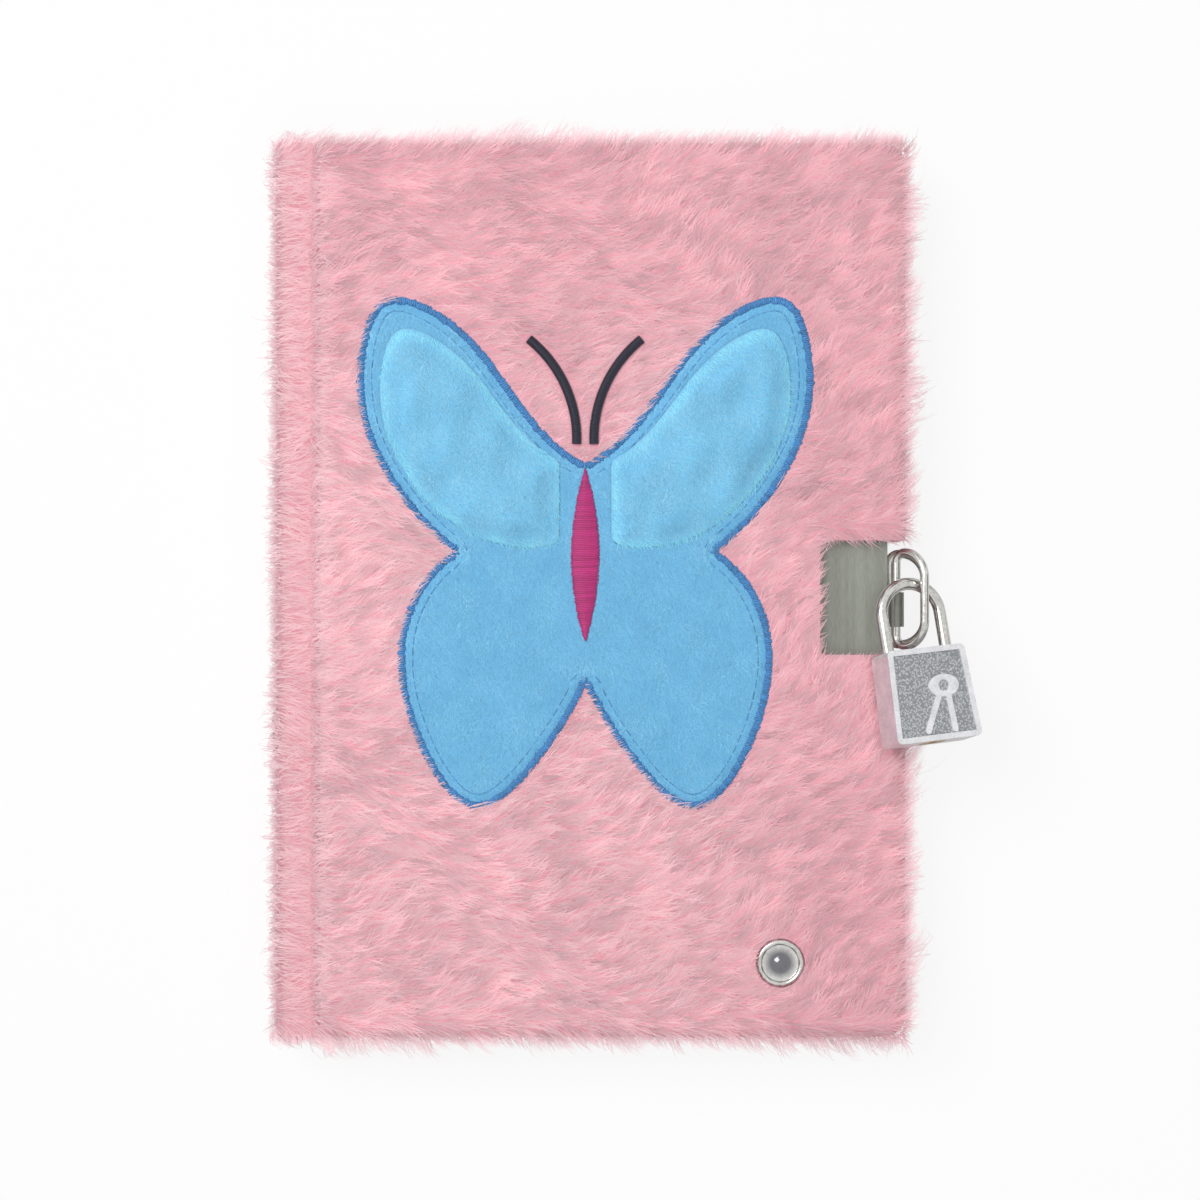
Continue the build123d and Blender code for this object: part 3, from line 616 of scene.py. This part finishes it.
def growPile(name, line, pile, lean, body, blocked, template=longStrand, parts=1):
    rng = np.random.default_rng(pile["seed"])
    point, lineLength, edge = sheetSurface(line, cover["halfLength"], pile["round"])
    gap, beyond = pile["gap"], edge + pile["deep"]
    first, last = pile["span"]
    u, v = np.meshgrid(np.arange(first, lineLength - last, gap), np.arange(-beyond, beyond, gap))
    u = u.ravel() + rng.random(u.size) * gap
    v = v.ravel() + rng.random(v.size) * gap
    keep = ~blocked(point(u, v, 0.0), 0.0)
    u, v = u[keep], v[keep]
    count = len(u)
    # Neighbouring strands gather into locks
    warpU, warpV = wander(u, v, *coat["warpU"]), wander(v, u, *coat["warpV"])
    row = np.floor(warpV / coat["lockWide"])
    stagger = 0.5 * (row % 2)
    column = np.floor(warpU / coat["lockLong"] + stagger)
    pullU = (column + 0.5 - stagger) * coat["lockLong"] - warpU
    pullV = (row + 0.5) * coat["lockWide"] - warpV
    table = rng.random((coat["locks"], 4))
    hashed = column * coat["lockHash"][0] + row * coat["lockHash"][1]
    lockTurn, lockReach, lockRise, lockShade = table[(hashed % coat["locks"]).astype(int)].T
    root = point(u, v, 0.0)
    rootX, rootY = root[:, 0], root[:, 1]
    outward = unit(point(u, v, 1.0) - root)
    alongU = unit(point(u + 0.1, v, 0.0) - point(u - 0.1, v, 0.0))
    alongV = np.cross(outward, alongU)
    turn = lean(rootX, rootY) + (lockTurn - 0.5) * coat["lockTurn"] + rng.normal(0, coat["turn"], count)
    fan = pile["fan"] * smoothStep(np.abs(v), edge + coat["fanFrom"], edge + coat["fanTo"])
    turn = turn * (1 - fan) + fan * np.sign(v) * coat["fanTurn"]
    reach = rng.uniform(*pile["reach"], count) * startGain(coat["lockReach"], lockReach)
    rise = rng.uniform(*pile["rise"], count) * startGain(coat["lockRise"], lockRise)
    # Uneven tufts where the cloth turns away from its face
    turned = np.clip(1 - outward @ np.array(pile["face"]), 0, 1)
    tuft = 1 + coat["tuft"] * turned * ripple(rootX, rootY, *coat["tuftWaves"])
    reach = reach * tuft
    rise = rise * tuft * (1 + pile["fluff"] * turned)
    width = coat["width"] * rng.uniform(*coat["widthVary"], count)
    stray = rng.random(count) < coat["stray"]
    rise = np.where(stray, rise * coat["strayRise"], rise)
    width = np.where(stray, width * coat["strayWidth"], width)
    curl = reach * rng.normal(0, coat["curl"], count)
    gather = np.where(stray, coat["strayGather"], coat["gather"])
    cosTurn, sinTurn = np.cos(turn), np.sin(turn)

    def place(a, b, t):
        along = reach * t ** coat["bow"]
        thick = width * (1 - t ** coat["taper"])
        across = curl * t * t + a * thick
        stepU = cosTurn * along - sinTurn * across + gather * pullU * t
        stepV = sinTurn * along + cosTurn * across + gather * pullV * t
        lift = coat["rootLift"] + rise * (1 - (1 - t) ** 2) + b * thick * coat["flat"]
        laid = point(u + stepU, v + stepV, lift)
        straight = root + alongU * stepU[:, None] + alongV * stepV[:, None] + outward * lift[:, None]
        return laid + (straight - laid) * pile["free"]

    # Strands stop short of what is sewn or set into the plush
    overlap = pile["overlap"] * rng.uniform(*trim["vary"], count)
    for _ in range(trim["rounds"]):
        over = np.any([blocked(place(0, 0, t), overlap) for t in trim["marks"]], axis=0)
        reach = np.where(over, reach * trim["reach"], reach)
        curl = np.where(over, curl * trim["curl"], curl)
        gather = np.where(over, gather * trim["gather"], gather)
    corners, faces = template
    points = pressUnderLock(np.stack([place(*c) for c in corners], axis=1))
    points[..., 2] = np.maximum(points[..., 2], coat["lowest"])
    # Soft shading: a fibre takes its normal from the cloth below, turned to the side its own face looks to
    tip = unit(place(0, 0, 1.0) - place(0, 0, 0.5))
    side = unit(place(1, 0, 0.3) - place(-1, 0, 0.3))
    halves = []
    for sign in (1, -1):
        upright = sign * (pile["sky"] + np.maximum(sign * outward[:, 2], 0))
        soft = unit(np.column_stack([outward[:, :2], upright]))
        bent = [(tip * (soften["tip"] * t) + side * (soften["side"] * a)) * soften["level"] for a, _, t in corners]
        halves.append(unit(np.stack([soft + own for own in bent], axis=1)))
    one, two, three = (points[:, faces[:, k]] for k in range(3))
    upward = np.cross(two - one, three - one)[..., 2] >= 0
    normals = np.where(upward[..., None, None], halves[0][:, faces], halves[1][:, faces])
    broad = ripple(rootX, rootY, *furColourAndPaintedLight["waves"])
    vary = furColourAndPaintedLight["broad"] * broad + furColourAndPaintedLight["lock"] * (lockShade - 0.5) + rng.normal(0, furColourAndPaintedLight["fibre"], count)
    # Painted light: tone draws the rolled hinge and spine fur lighter than the same fur on the face
    shade = pile["tone"] * (1 + pile["vary"] * vary)
    # Fibres are drawn darker towards the head and the fore edge
    deeper = pile["deeper"] * np.maximum(smoothStep(rootX, *furColourAndPaintedLight["foreEdge"]), smoothStep(rootY, *furColourAndPaintedLight["head"]))
    # Painted shade: each fibre is drawn darker towards its root, where the pile lies deep
    share = (corners[:, 2] ** furColourAndPaintedLight["blend"])[None, :, None] * (1 - deeper)[:, None, None]
    colours = (dyed(furColourAndPaintedLight["root"]) * (1 - share) + dyed(furColourAndPaintedLight["tip"]) * share) * shade[:, None, None]
    # Painted light: the fringe that stands clear of the cover is drawn paler, as if light shone through it
    clear = np.max([np.abs(points[..., 1]) - cover["halfLength"], points[..., 0] - frontHigh[0],
                    spineLow[0] - points[..., 0]], axis=0)
    through = smoothStep(clear, *furColourAndPaintedLight["clear"])
    colours = colours + (dyed(furColourAndPaintedLight["pale"]) - colours) * furColourAndPaintedLight["fringe"] * through[..., None]
    pieces = []
    for number, chosen in enumerate(np.array_split(np.argsort(rootY, kind="stable"), parts)):
        title = f"{name}{number + 1}" if parts > 1 else name
        mesh = copiesMesh(title, template, points[chosen], colours[chosen], normals[chosen], through[chosen])
        piece = addPiece(title, mesh, body, finishes["fur"])
        piece.visible_shadow = False  # fibres this thin let the light through
        pieces.append(piece)
    print(name, count, "strands")
    return pieces


# Where fur can't be: roots are asked about with one overlap of 0, strands with one overlap each

def inWindow(x, y, overlap, hang):
    return ((x > cover["windowIn"] + hang) & (y > cover["windowLow"] + overlap)
            & (y < cover["windowHigh"] - hang))


def frontBlocked(points, overlap):
    x, y = points[:, 0], points[:, 1]
    window = inWindow(x, y, overlap, overlap * cover["windowHang"])
    stud = np.hypot(x - studMid[0], y - studMid[1]) < studRadius - overlap * cover["studHang"]
    sewn = insideLoop(x, y, patchEdge) & (loopDistance(x, y, patchEdge) >= overlap)
    for loop in feelerEdges:
        sewn |= insideLoop(x, y, loop) | (loopDistance(x, y, loop) < cover["feelerClear"])
    return window | stud | sewn


def backBlocked(points, overlap):
    return inWindow(points[:, 0], points[:, 1], overlap, overlap)


def backRim(points, overlap):
    # Roots on the turned-up edges only
    return backBlocked(points, overlap) | ((points[:, 2] < cover["rimTurn"]) & (np.ndim(overlap) == 0))


def openCloth(points, overlap):
    return np.zeros(len(points), bool)


def spineFace(points, overlap):
    # Roots on the upright face only
    return (points[:, 2] < cover["spineTurn"]) & (np.ndim(overlap) == 0)


def spineUnder(points, overlap):
    return (points[:, 2] >= cover["spineTurn"]) & (np.ndim(overlap) == 0)


comb = {"turn": (10, 26), "between": (-30, 60), "sway": 0.5, "waves": (11, (26, 38, 61)), "besideFrom": -3,
        "besideTo": 1, "above": 5, "below": 4, "ease": 4, "edge": 0.5, "fall": 1.1}
straightComb = {"sway": 0.3, "waves": (12, (26, 38))}


def combFront(x, y):
    turn = np.radians(startGain(comb["turn"], smoothStep(x, *comb["between"])))
    turn = turn + comb["sway"] * ripple(x, y, *comb["waves"])
    # Pile falls over the window's cut edges
    inner, low, high = (cover[k] for k in ("windowIn", "windowLow", "windowHigh"))
    beside = smoothStep(x, inner + comb["besideFrom"], inner + comb["besideTo"])
    above = beside * smoothStep(high + comb["above"] - y, 0, comb["ease"]) * (y > high - comb["edge"])
    below = beside * smoothStep(y - low + comb["below"], 0, comb["ease"]) * (y < low + comb["edge"])
    return turn * (1 - above - below) + comb["fall"] * (below - above)


def combStraight(x, y):
    return straightComb["sway"] * ripple(x, y, *straightComb["waves"])


right, top, wrap = frontHigh[0], frontHigh[2], cover["frontRound"]
rolledEdge = ((-2.4, -1.1), (-1.1, -0.35), (0.6, 0.0))  # beside the joint
frontLine = [*((frontLow[0] + x, top + z) for x, z in rolledEdge),
             *corner(right - wrap, top - wrap, wrap, 90, 0), (right, frontLow[2] - cover["turnIn"])]
under, ground = cover["backRound"], cover["floorGap"]
backStart = 4
backLine = [(right, backHigh[2] + backStart), *corner(right - under, under + ground, under, 0, -90),
            (backLow[0], ground), (backLow[0] - cover["turnIn"], ground)]
spineLine = [(backLow[0], 0.9), (-67.0, 1.3), (-71.0, 0.9), (-72.6, 1.7), (spineLow[0], 3.6), (spineLow[0], 26.0)]
hinge = {"lowest": 21.5, "rim": 2, "left": -73, "marks": 40, "ease": 4, "start": 0.4}
clothPoints = {(round(v.co.x / mm, 4), round(v.co.z / mm, 4))
               for v in frame["nodes"]["front_joint_cloth"].data.vertices}
upper = np.array(sorted((x, z) for x, z in clothPoints
                        if z > hinge["lowest"] and (z > clothLow[2] + hinge["rim"] or x < hinge["left"])))
across = np.linspace(upper[0, 0], upper[-1, 0], hinge["marks"])
crest = np.interp(across, upper[:, 0], upper[:, 1])
window = 2 * hinge["ease"] + 1
smoothed = np.convolve(np.pad(crest, hinge["ease"], "edge"), np.full(window, 1 / window), "valid")
bed = np.maximum(smoothed, crest)  # the pile bridges the sharp crease
jointLine = [(clothLow[0], clothLow[2] + hinge["start"]), *zip(across, bed),
             (clothHigh[0] + cover["turnIn"], clothHigh[2])]

pileBase = {"gap": 0.72, "overlap": 0.0, "face": (0, 0, 1), "sky": 1.0, "tone": 1.0, "vary": 1.0, "deeper": 0.0}
frontPile = {**pileBase, "seed": 21, "round": wrap, "deep": 2.2, "span": (0, 7.5), "reach": (4.2, 6.6),
             "rise": (1.1, 1.9), "overlap": 0.9, "free": 0.7, "fan": 0.8, "fluff": 0.9, "deeper": 0.4}
frontFur = growPile("frontPile", frontLine, frontPile, combFront, "front_cover", frontBlocked, parts=6)
# Painted light: the hinge fur is drawn lighter (tone) than the fur on the face
jointPile = {**pileBase, "seed": 22, "round": cover["hingeRound"], "deep": 5.0, "span": (0, 6), "reach": (3.4, 5.0),
             "rise": (0.9, 1.5), "free": 0.15, "fan": 0.85, "fluff": 1.0, "tone": 1.08, "vary": 0.3}
jointFur = growPile("jointPile", jointLine, jointPile, combStraight, "back_cover", openCloth)
# Painted light: the spine fur is drawn lighter still (tone) than the fur on the face
spinePile = {**pileBase, "seed": 23, "gap": 0.8, "round": cover["spineRound"], "deep": 2.2, "span": (0, 9.5),
             "reach": (3.4, 5.0), "rise": (1.0, 2.2), "free": 0.5, "fan": 0.6, "fluff": 0.2, "face": (-1, 0, 0),
             "tone": 1.12, "vary": 0.7}
spineFur = []
for name, part in (("spinePile", spineFace), ("spineUnderPile", spineUnder)):
    spineFur += growPile(name, spineLine, spinePile, combStraight, "back_cover", part)
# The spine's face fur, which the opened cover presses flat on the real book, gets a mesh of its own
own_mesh(spineFur[0])
backPile = {**pileBase, "seed": 24, "gap": 0.95, "round": under, "deep": 2.4, "span": (4, 6), "reach": (4.0, 6.0),
            "rise": (0.3, 0.6), "overlap": 1.0, "free": 0.5, "fan": 0.5, "fluff": 3.6, "face": (0, 0, -1),
            "sky": 0.6}
backFur = growPile("backPile", backLine, backPile, combStraight, "back_cover", backBlocked, shortStrand, parts=2)
rimPile = {**backPile, "seed": 25, "gap": 0.6, "deep": 2.8, "reach": (2.6, 4.2), "rise": (0.2, 0.4)}
backFur += growPile("backRimPile", backLine, rimPile, combStraight, "back_cover", backRim, shortStrand)


def clothBase(name, node, body, lowest):
    # Faux fur glued over the boards and turned in
    bm = plainCopy(node)
    if node == "front_joint_cloth":
        for share in np.linspace(0.1, 0.9, 9):
            cutAcross(bm, ((clothLow[0] + (clothHigh[0] - clothLow[0]) * share) * mm, 0, 0), (1, 0, 0))
    for v in bm.verts:
        v.co.z = max(v.co.z, lowest * mm)
    cloth = addPiece(name, finishMesh(bm, name, 4), body, finishes["backing"], (node,))
    return cloth


clothBase("frontBacking", "front_plush", "front_cover", 0)
joint = clothBase("jointBacking", "front_joint_cloth", "back_cover", 0)
clothBase("spineBacking", "spine_plush", "back_cover", 0.7)
clothBase("backBacking", "back_plush", "back_cover", 0.7)
# The hinge cloth, which folds into the joint as the cover opens on the real book, gets a mesh of its own, as does
# its fur
for piece in [joint, *jointFur]:
    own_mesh(piece)
print("plush covers made")


# Sewn butterfly

def pillow(name, loop, spacing, height, material, body, stands, lowShare, baseZ):
    # Crowned closed pad on an outline: height(x, y, depth) above its seam
    points = evenLoop(loop, spacing)[0]
    bm = bmesh.new()
    bm.faces.new([bm.verts.new((x * mm, y * mm, 0)) for x, y in points])
    for axis in (0, 1):
        facing = Vector((1 - axis, axis, 0))
        for cut in np.arange(points[:, axis].min() + spacing / 2, points[:, axis].max(), spacing):
            cutAcross(bm, facing * cut * mm, facing)
    x = np.array([v.co.x for v in bm.verts]) / mm
    y = np.array([v.co.y for v in bm.verts]) / mm
    rise = height(x, y, loopDistance(x, y, points))
    lower = bmesh.ops.duplicate(bm, geom=bm.verts[:] + bm.edges[:] + bm.faces[:])
    copied = [lower["vert_map"][v] for v in bm.verts[:len(x)]]
    for v, low, h in zip(bm.verts[:len(x)], copied, rise):
        v.co.z = (baseZ + h) * mm
        low.co.z = (baseZ - h * lowShare) * mm
    bmesh.ops.remove_doubles(bm, verts=bm.verts, dist=near["padWeld"] * mm)
    bmesh.ops.recalc_face_normals(bm, faces=bm.faces)
    return addPiece(name, finishMesh(bm, name, 60), body, material, stands)


def padTop(loop, seamZ, height):
    # Height of a pad's face over its outline, and of its seam outside
    def topOf(x, y):
        return seamZ + height(x, y, np.where(insideLoop(x, y, loop), loopDistance(x, y, loop), 0))

    return topOf


stitch = {"swell": 0.6, "thinEnd": 0.55, "vary": 0.1}


def sewThreads(name, starts, ends, thread, stands=()):
    # Each stitch is a thread laid from start to end, arched in the middle
    rng = np.random.default_rng(thread["seed"])
    run = ends - starts
    side = unit(np.stack([-run[:, 1], run[:, 0], np.zeros(len(run))], axis=1))
    shade = 1 + rng.normal(0, stitch["vary"], len(run))

    def place(a, b, t):
        bulge = thread["arch"] * math.sin(math.pi * t) ** stitch["swell"] if 0 < t < 1 else 0
        thin = thread["radius"] * (stitch["thinEnd"] if t in (0, 1) else 1)
        return starts + run * t + side * (a * thin) + np.array([0, 0, 1]) * (bulge + b * thin)

    corners = stitchForm[0]
    points = np.stack([place(a, b, float(np.round(t, 3))) for a, b, t in corners], axis=1)
    tint = dyed(thread["colour"]) * shade[:, None, None] * np.ones((1, len(corners), 1))
    addPiece(name, copiesMesh(name, stitchForm, points, tint), "front_cover", finishes["thread"], stands)


def atHeight(points, z):
    return np.column_stack([points, np.full(len(points), z)])


plush = {"gap": 0.44, "width": 0.16, "probe": 0.2, "waves": (9, 14, 23), "press": 0.9, "turn": 0.4, "flat": 0.4,
         "tip": 0.3, "side": 0.5, "rimWide": 3.5, "vary": 0.07}


def growNap(name, loop, topOf, nap, body, bare=None):
    # Short plush: fibres a millimetre long, laid one way with pressed patches
    rng = np.random.default_rng(nap["seed"])
    edge = evenLoop(loop, 1.5)[0]
    low, high = edge.min(axis=0), edge.max(axis=0)
    x, y = np.meshgrid(*(np.arange(low[k], high[k], plush["gap"]) for k in (0, 1)))
    x = x.ravel() + rng.random(x.size) * plush["gap"]
    y = y.ravel() + rng.random(y.size) * plush["gap"]
    depth = loopDistance(x, y, edge)
    keep = insideLoop(x, y, edge) & (depth > nap["rim"])
    if bare:
        keep &= ~bare(x, y, depth)
    x, y, depth = x[keep], y[keep], depth[keep]
    count = len(x)
    z = topOf(x, y)
    steps = ((plush["probe"], 0), (0, plush["probe"]))
    slopeX, slopeY = ((topOf(x + dx, y + dy) - topOf(x - dx, y - dy)) / (2 * plush["probe"]) for dx, dy in steps)
    outward = unit(np.stack([-slopeX, -slopeY, np.ones(count)], axis=1))
    pressed = ripple(x, y, nap["seed"], plush["waves"])
    turn = nap["lean"] + plush["press"] * pressed + rng.normal(0, plush["turn"], count)
    reach = rng.uniform(*nap["reach"], count)
    rise = rng.uniform(*nap["rise"], count)
    cosTurn, sinTurn = np.cos(turn), np.sin(turn)
    corners, faces = napStrand

    def place(a, b, t):
        wide = plush["width"] * (1 - t)
        stepX, stepY = (cosTurn * reach * t - sinTurn * a * wide, sinTurn * reach * t + cosTurn * a * wide)
        lift = rise * t + b * wide * plush["flat"] + stepX * slopeX + stepY * slopeY
        return np.stack([x + stepX, y + stepY, z + lift], axis=1)

    points = np.stack([place(*c) for c in corners], axis=1)
    tip = unit(place(0, 0, 1) - place(0, 0, 0))
    side = np.stack([-sinTurn, cosTurn, np.zeros(count)], axis=1)
    normals = unit(np.stack([outward + tip * (plush["tip"] * t) + side * (plush["side"] * a)
                             for a, _, t in corners], axis=1))[:, faces]
    # Painted shade: each fibre is drawn darker towards its root
    share = corners[:, 2][None, :, None]
    # Painted highlight: fibres near the pad's outline are drawn paler, where the rounded edge catches the light
    rimHighlightShare = nap["paintedRimHighlight"] * smoothStep(depth, plush["rimWide"], 0)
    shade = 1 + nap["mottle"] * pressed + rimHighlightShare + rng.normal(0, plush["vary"], count)
    colours = (dyed(nap["root"]) * (1 - share) + dyed(nap["tip"]) * share) * shade[:, None, None]
    piece = addPiece(name, copiesMesh(name, napStrand, points, colours, normals), body, finishes["nap"])
    piece.visible_shadow = False
    print(name, count, "fibres")


pad = {"seamZ": 27.0, "spacing": 1.5, "crown": 1.1, "crownFrom": -0.6, "crownWide": 2.8, "uneven": 0.08,
       "waves": (31, (17, 25)), "under": 0.4}
border = {"out": 0.45, "in": 1.25, "gap": 0.5, "slant": 0.12, "outVary": 0.1, "inVary": 0.12, "outLift": 0.55,
          "inLift": 0.12, "drawSeed": 41, "arch": 0.22, "radius": 0.27, "colour": "#4688C2", "seed": 42}
topstitch = {"in": 3.0, "long": 2.1, "gap": 2.8, "lift": 0.02, "clear": 0.3, "arch": 0.08, "radius": 0.14,
             "colour": "#4E93C8", "seed": 43}
patchNap = {"seed": 48, "rim": 1.5, "reach": (0.9, 1.5), "rise": (0.2, 0.42), "lean": -1.4,
            "root": "#5FADDC", "tip": "#8ACAEC", "mottle": 0.05, "paintedRimHighlight": 0.0}
bodyLoop = topOutline("butterfly_body")[0]


def patchHeight(x, y, depth):
    crown = pad["crown"] * smoothStep(depth, pad["crownFrom"], pad["crownWide"])
    return crown * (1 + pad["uneven"] * ripple(x, y, *pad["waves"]))


def patchBare(x, y, depth):
    # Sewn lines and embroidery hold the nap down
    return (np.abs(depth - topstitch["in"]) < topstitch["clear"]) | insideLoop(x, y, bodyLoop)


patch = pillow("butterflyPatch", patchLoop, pad["spacing"], patchHeight, finishes["blue"],
               "front_cover", ("butterfly_patch",), pad["under"], pad["seamZ"])
patchTop = padTop(patchEdge, pad["seamZ"], patchHeight)
growNap("patchNap", patchLoop, patchTop, patchNap, "front_cover", patchBare)
edge, along, inward = evenLoop(patchLoop, border["gap"])
rng = np.random.default_rng(border["drawSeed"])
slant = along * rng.normal(0, border["slant"], len(edge))[:, None]
outer = edge - inward * (border["out"] + rng.normal(0, border["outVary"], len(edge)))[:, None] - slant
inner = edge + inward * (border["in"] + rng.normal(0, border["inVary"], len(edge)))[:, None] + slant
starts = atHeight(outer, patchTop(*outer.T) + border["outLift"])
ends = atHeight(inner, patchTop(*inner.T) + border["inLift"])
sewThreads("patchBorderStitch", starts, ends, border)
run, along, inward = evenLoop(patchLoop, topstitch["gap"])
mid = run + inward * topstitch["in"]
starts, ends = (mid + along * topstitch["long"] / 2 * sign for sign in (-1, 1))
starts, ends = (atHeight(p, patchTop(*p.T) + topstitch["lift"]) for p in (starts, ends))
sewThreads("patchTopstitch", starts, ends, topstitch)

bodyStitch = {"gap": 0.42, "first": 0.5, "last": 0.4, "ragged": (0, 0.25), "slant": 0.25, "baseZ": 28.15,
              "drawSeed": 44, "arch": 0.55, "radius": 0.26, "colour": "#B92F79", "seed": 45}
low, high = bodyLoop.min(axis=0), bodyLoop.max(axis=0)
rows = np.arange(low[1] + bodyStitch["first"], high[1] - bodyStitch["last"], bodyStitch["gap"])
centre = (low[0] + high[0]) / 2
leftSide = bodyLoop[bodyLoop[:, 0] <= centre + 1e-6]
leftSide = leftSide[np.argsort(leftSide[:, 1])]
halfWide = centre - np.interp(rows, leftSide[:, 1], leftSide[:, 0])
rng = np.random.default_rng(bodyStitch["drawSeed"])
starts = np.column_stack([centre - halfWide - rng.uniform(*bodyStitch["ragged"], len(rows)), rows])
ends = np.column_stack([centre + halfWide + rng.uniform(*bodyStitch["ragged"], len(rows)),
                        rows + bodyStitch["slant"]])
starts, ends = (atHeight(p, bodyStitch["baseZ"]) for p in (starts, ends))
sewThreads("butterflyBody", starts, ends, bodyStitch, ("butterfly_body",))

feeler = {"root": (2.0, 27.0), "bend": (5.0, 41.0), "tip": (13.0, 51.0), "middle": (-1.8, 6.9), "gap": 0.4,
          "wide": 2.2, "baseZ": 28.0, "arch": 0.5, "radius": 0.26, "colour": "#15182B", "seed": 46}
threads = []
for side in (-1, 1):
    # An arc through three points, in stitches across it
    a, b, c = (np.array(feeler[k]) * (side, 1) for k in ("root", "bend", "tip"))
    hub = np.linalg.solve(2 * np.array([b - a, c - a]), [b @ b - a @ a, c @ c - a @ a])
    first, last = (math.atan2(*(p - hub)[::-1]) for p in (a, c))
    sweepAngle = (last - first + math.pi) % (2 * math.pi) - math.pi
    bow = np.hypot(*(a - hub))
    turns = first + sweepAngle * np.arange(0, 1, feeler["gap"] / abs(bow * sweepAngle))
    ray = np.stack([np.cos(turns), np.sin(turns)], axis=1)
    middle = hub + np.array(feeler["middle"])
    threads.append([middle + ray * (bow + feeler["wide"] / 2 * sign) for sign in (-1, 1)])
starts, ends = (atHeight(np.vstack([pair[k] for pair in threads]), feeler["baseZ"]) for k in (0, 1))
sewThreads("butterflyAntennae", starts, ends, feeler, ("butterfly_antennae",))

flap = {"crown": 2.3, "crownWide": 7.0, "under": 0.15, "seam": 0.4, "dent": 0.4, "waves": (51, (11, 16, 24)),
        "spacing": 1.2}
flapNap = {"seed": 53, "rim": 0.05, "reach": (1.0, 1.7), "rise": (0.25, 0.5), "lean": -1.2,
           "root": "#64B8E5", "tip": "#9CDCF7", "mottle": 0.1, "paintedRimHighlight": 0.35}


def flapHeight(x, y, depth):
    swell = np.sqrt(smoothStep(depth, 0, flap["crownWide"]))
    return flap["crown"] * swell * (1 + flap["dent"] * ripple(x, y, *flap["waves"]))


for side in ("left", "right"):
    node, body = f"{side}_wing_flap", f"{side}_wing"
    seamZ = nodeBox(node)[0][2] + flap["seam"]
    loop = topOutline(node, lowest=True)[0]
    wing = pillow(f"{side}WingFlap", loop, flap["spacing"], flapHeight, finishes["paleBlue"],
                  body, (node,), flap["under"], seamZ)
    flapTop = padTop(evenLoop(loop, flap["spacing"])[0], seamZ, flapHeight)
    growNap(f"{side}WingNap", loop, flapTop, flapNap, body)
print("butterfly sewn on")


# Book block: each section is a stack of trimmed leaves

leaves = {"thick": 0.32, "shift": 0.22, "fill": 0.9, "seed": 61}
rng = np.random.default_rng(leaves["seed"])
stacks = {**{f"page_section_{k}": "back_cover" for k in (1, 2, 3, 4)}, "back_flyleaf": "back_cover",
          **{node: node for node in ("turning_leaf", "turned_leaves", "front_flyleaf")}}
for node, body in stacks.items():
    low, high = nodeBox(node)
    count = max(1, int(round((high[2] - low[2]) / leaves["thick"])))
    step = (high[2] - low[2]) / count
    bm = bmesh.new()
    for number in range(count):
        cut = rng.uniform(0, leaves["shift"], 3)
        size = (high[0] - low[0] - cut[0], high[1] - low[1] - cut[1] - cut[2], step * leaves["fill"])
        middle = (low[0] + size[0] / 2, low[1] + cut[1] + size[1] / 2, low[2] + step * (number + 0.5))
        shape = Matrix.Translation(Vector(middle) * mm) @ Matrix.Diagonal((*(Vector(size) * mm), 1))
        bmesh.ops.create_cube(bm, size=1, matrix=shape)
    title = camel(node) + "Leaves"
    look = "plainPaper" if "flyleaf" in node else "paper"
    addPiece(title, finishMesh(bm, title), body, finishes[look], (node,))
print("book block stacked")


# Metal pieces keep the CAD shape, with their edges eased

easing = {"sharp": 38, "steps": 2, "crease": 50}


def easedCopy(node, ease, look):
    bm = plainCopy(node)
    limit = math.radians(easing["sharp"])
    sharp = [e for e in bm.edges if len(e.link_faces) == 2 and e.calc_face_angle() > limit]
    bmesh.ops.bevel(bm, geom=sharp, offset=ease * mm, segments=easing["steps"], profile=0.5, affect="EDGES",
                    material=-1, clamp_overlap=True)
    title, body = camel(node), frame["nodes"][node]["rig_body"]
    piece = addPiece(title, finishMesh(bm, title, easing["crease"]), body, finishes[look], (node,))
    piece.modifiers.new("evenFaces", "WEIGHTED_NORMAL").keep_sharp = True
    return piece


eased = {
    "front_hasp_plate": (0.15, "satinSteel"), "back_hasp_plate": (0.15, "satinSteel"),
    "front_hasp_rivets": (0.15, "plated"), "back_hasp_rivets": (0.15, "plated"),
    "front_ring": (0.1, "nickel"), "back_ring": (0.1, "nickel"), "stud_cap": (0.12, "stud"),
    "shackle": (0.15, "nickel"), "lock_case_front": (0.2, "zinc"), "lock_case_back": (0.3, "zinc"),
    "case_rivets": (0.1, "plated"), "lock_plug": (0.12, "brass"), "lock_latch": (0.1, "plated"),
}
metal = {node: easedCopy(node, ease, look) for node, (ease, look) in eased.items()}

# The case front's sunk field is stippled
sunk = {"from": 4.1, "to": 4.5, "facing": 0.9}
caseMesh = metal["lock_case_front"].data
field = caseMesh.attributes.new("field", "FLOAT", "FACE")
for polygon, mark in zip(caseMesh.polygons, field.data):
    level = (np.array(polygon.center) / mm - lockCentre) @ lockFace
    facing = polygon.normal.dot(Vector(lockFace))
    mark.value = float(sunk["from"] < level < sunk["to"] and facing > sunk["facing"])

# Boards, papers and inner metal are the CAD meshes themselves
dressed = {"board": ("front_board", "back_board", "spine_board"), "wadding": ("front_wadding",),
           "endpaper": ("front_endpaper", "back_endpaper"), "mull": ("spine_lining",),
           "plated": ("stud_post", "stud_washer", "shackle_spring")}
for look, nodes in dressed.items():
    for node in nodes:
        dress(frame["nodes"][node].data, finishes[look])
print("metal and boards dressed")
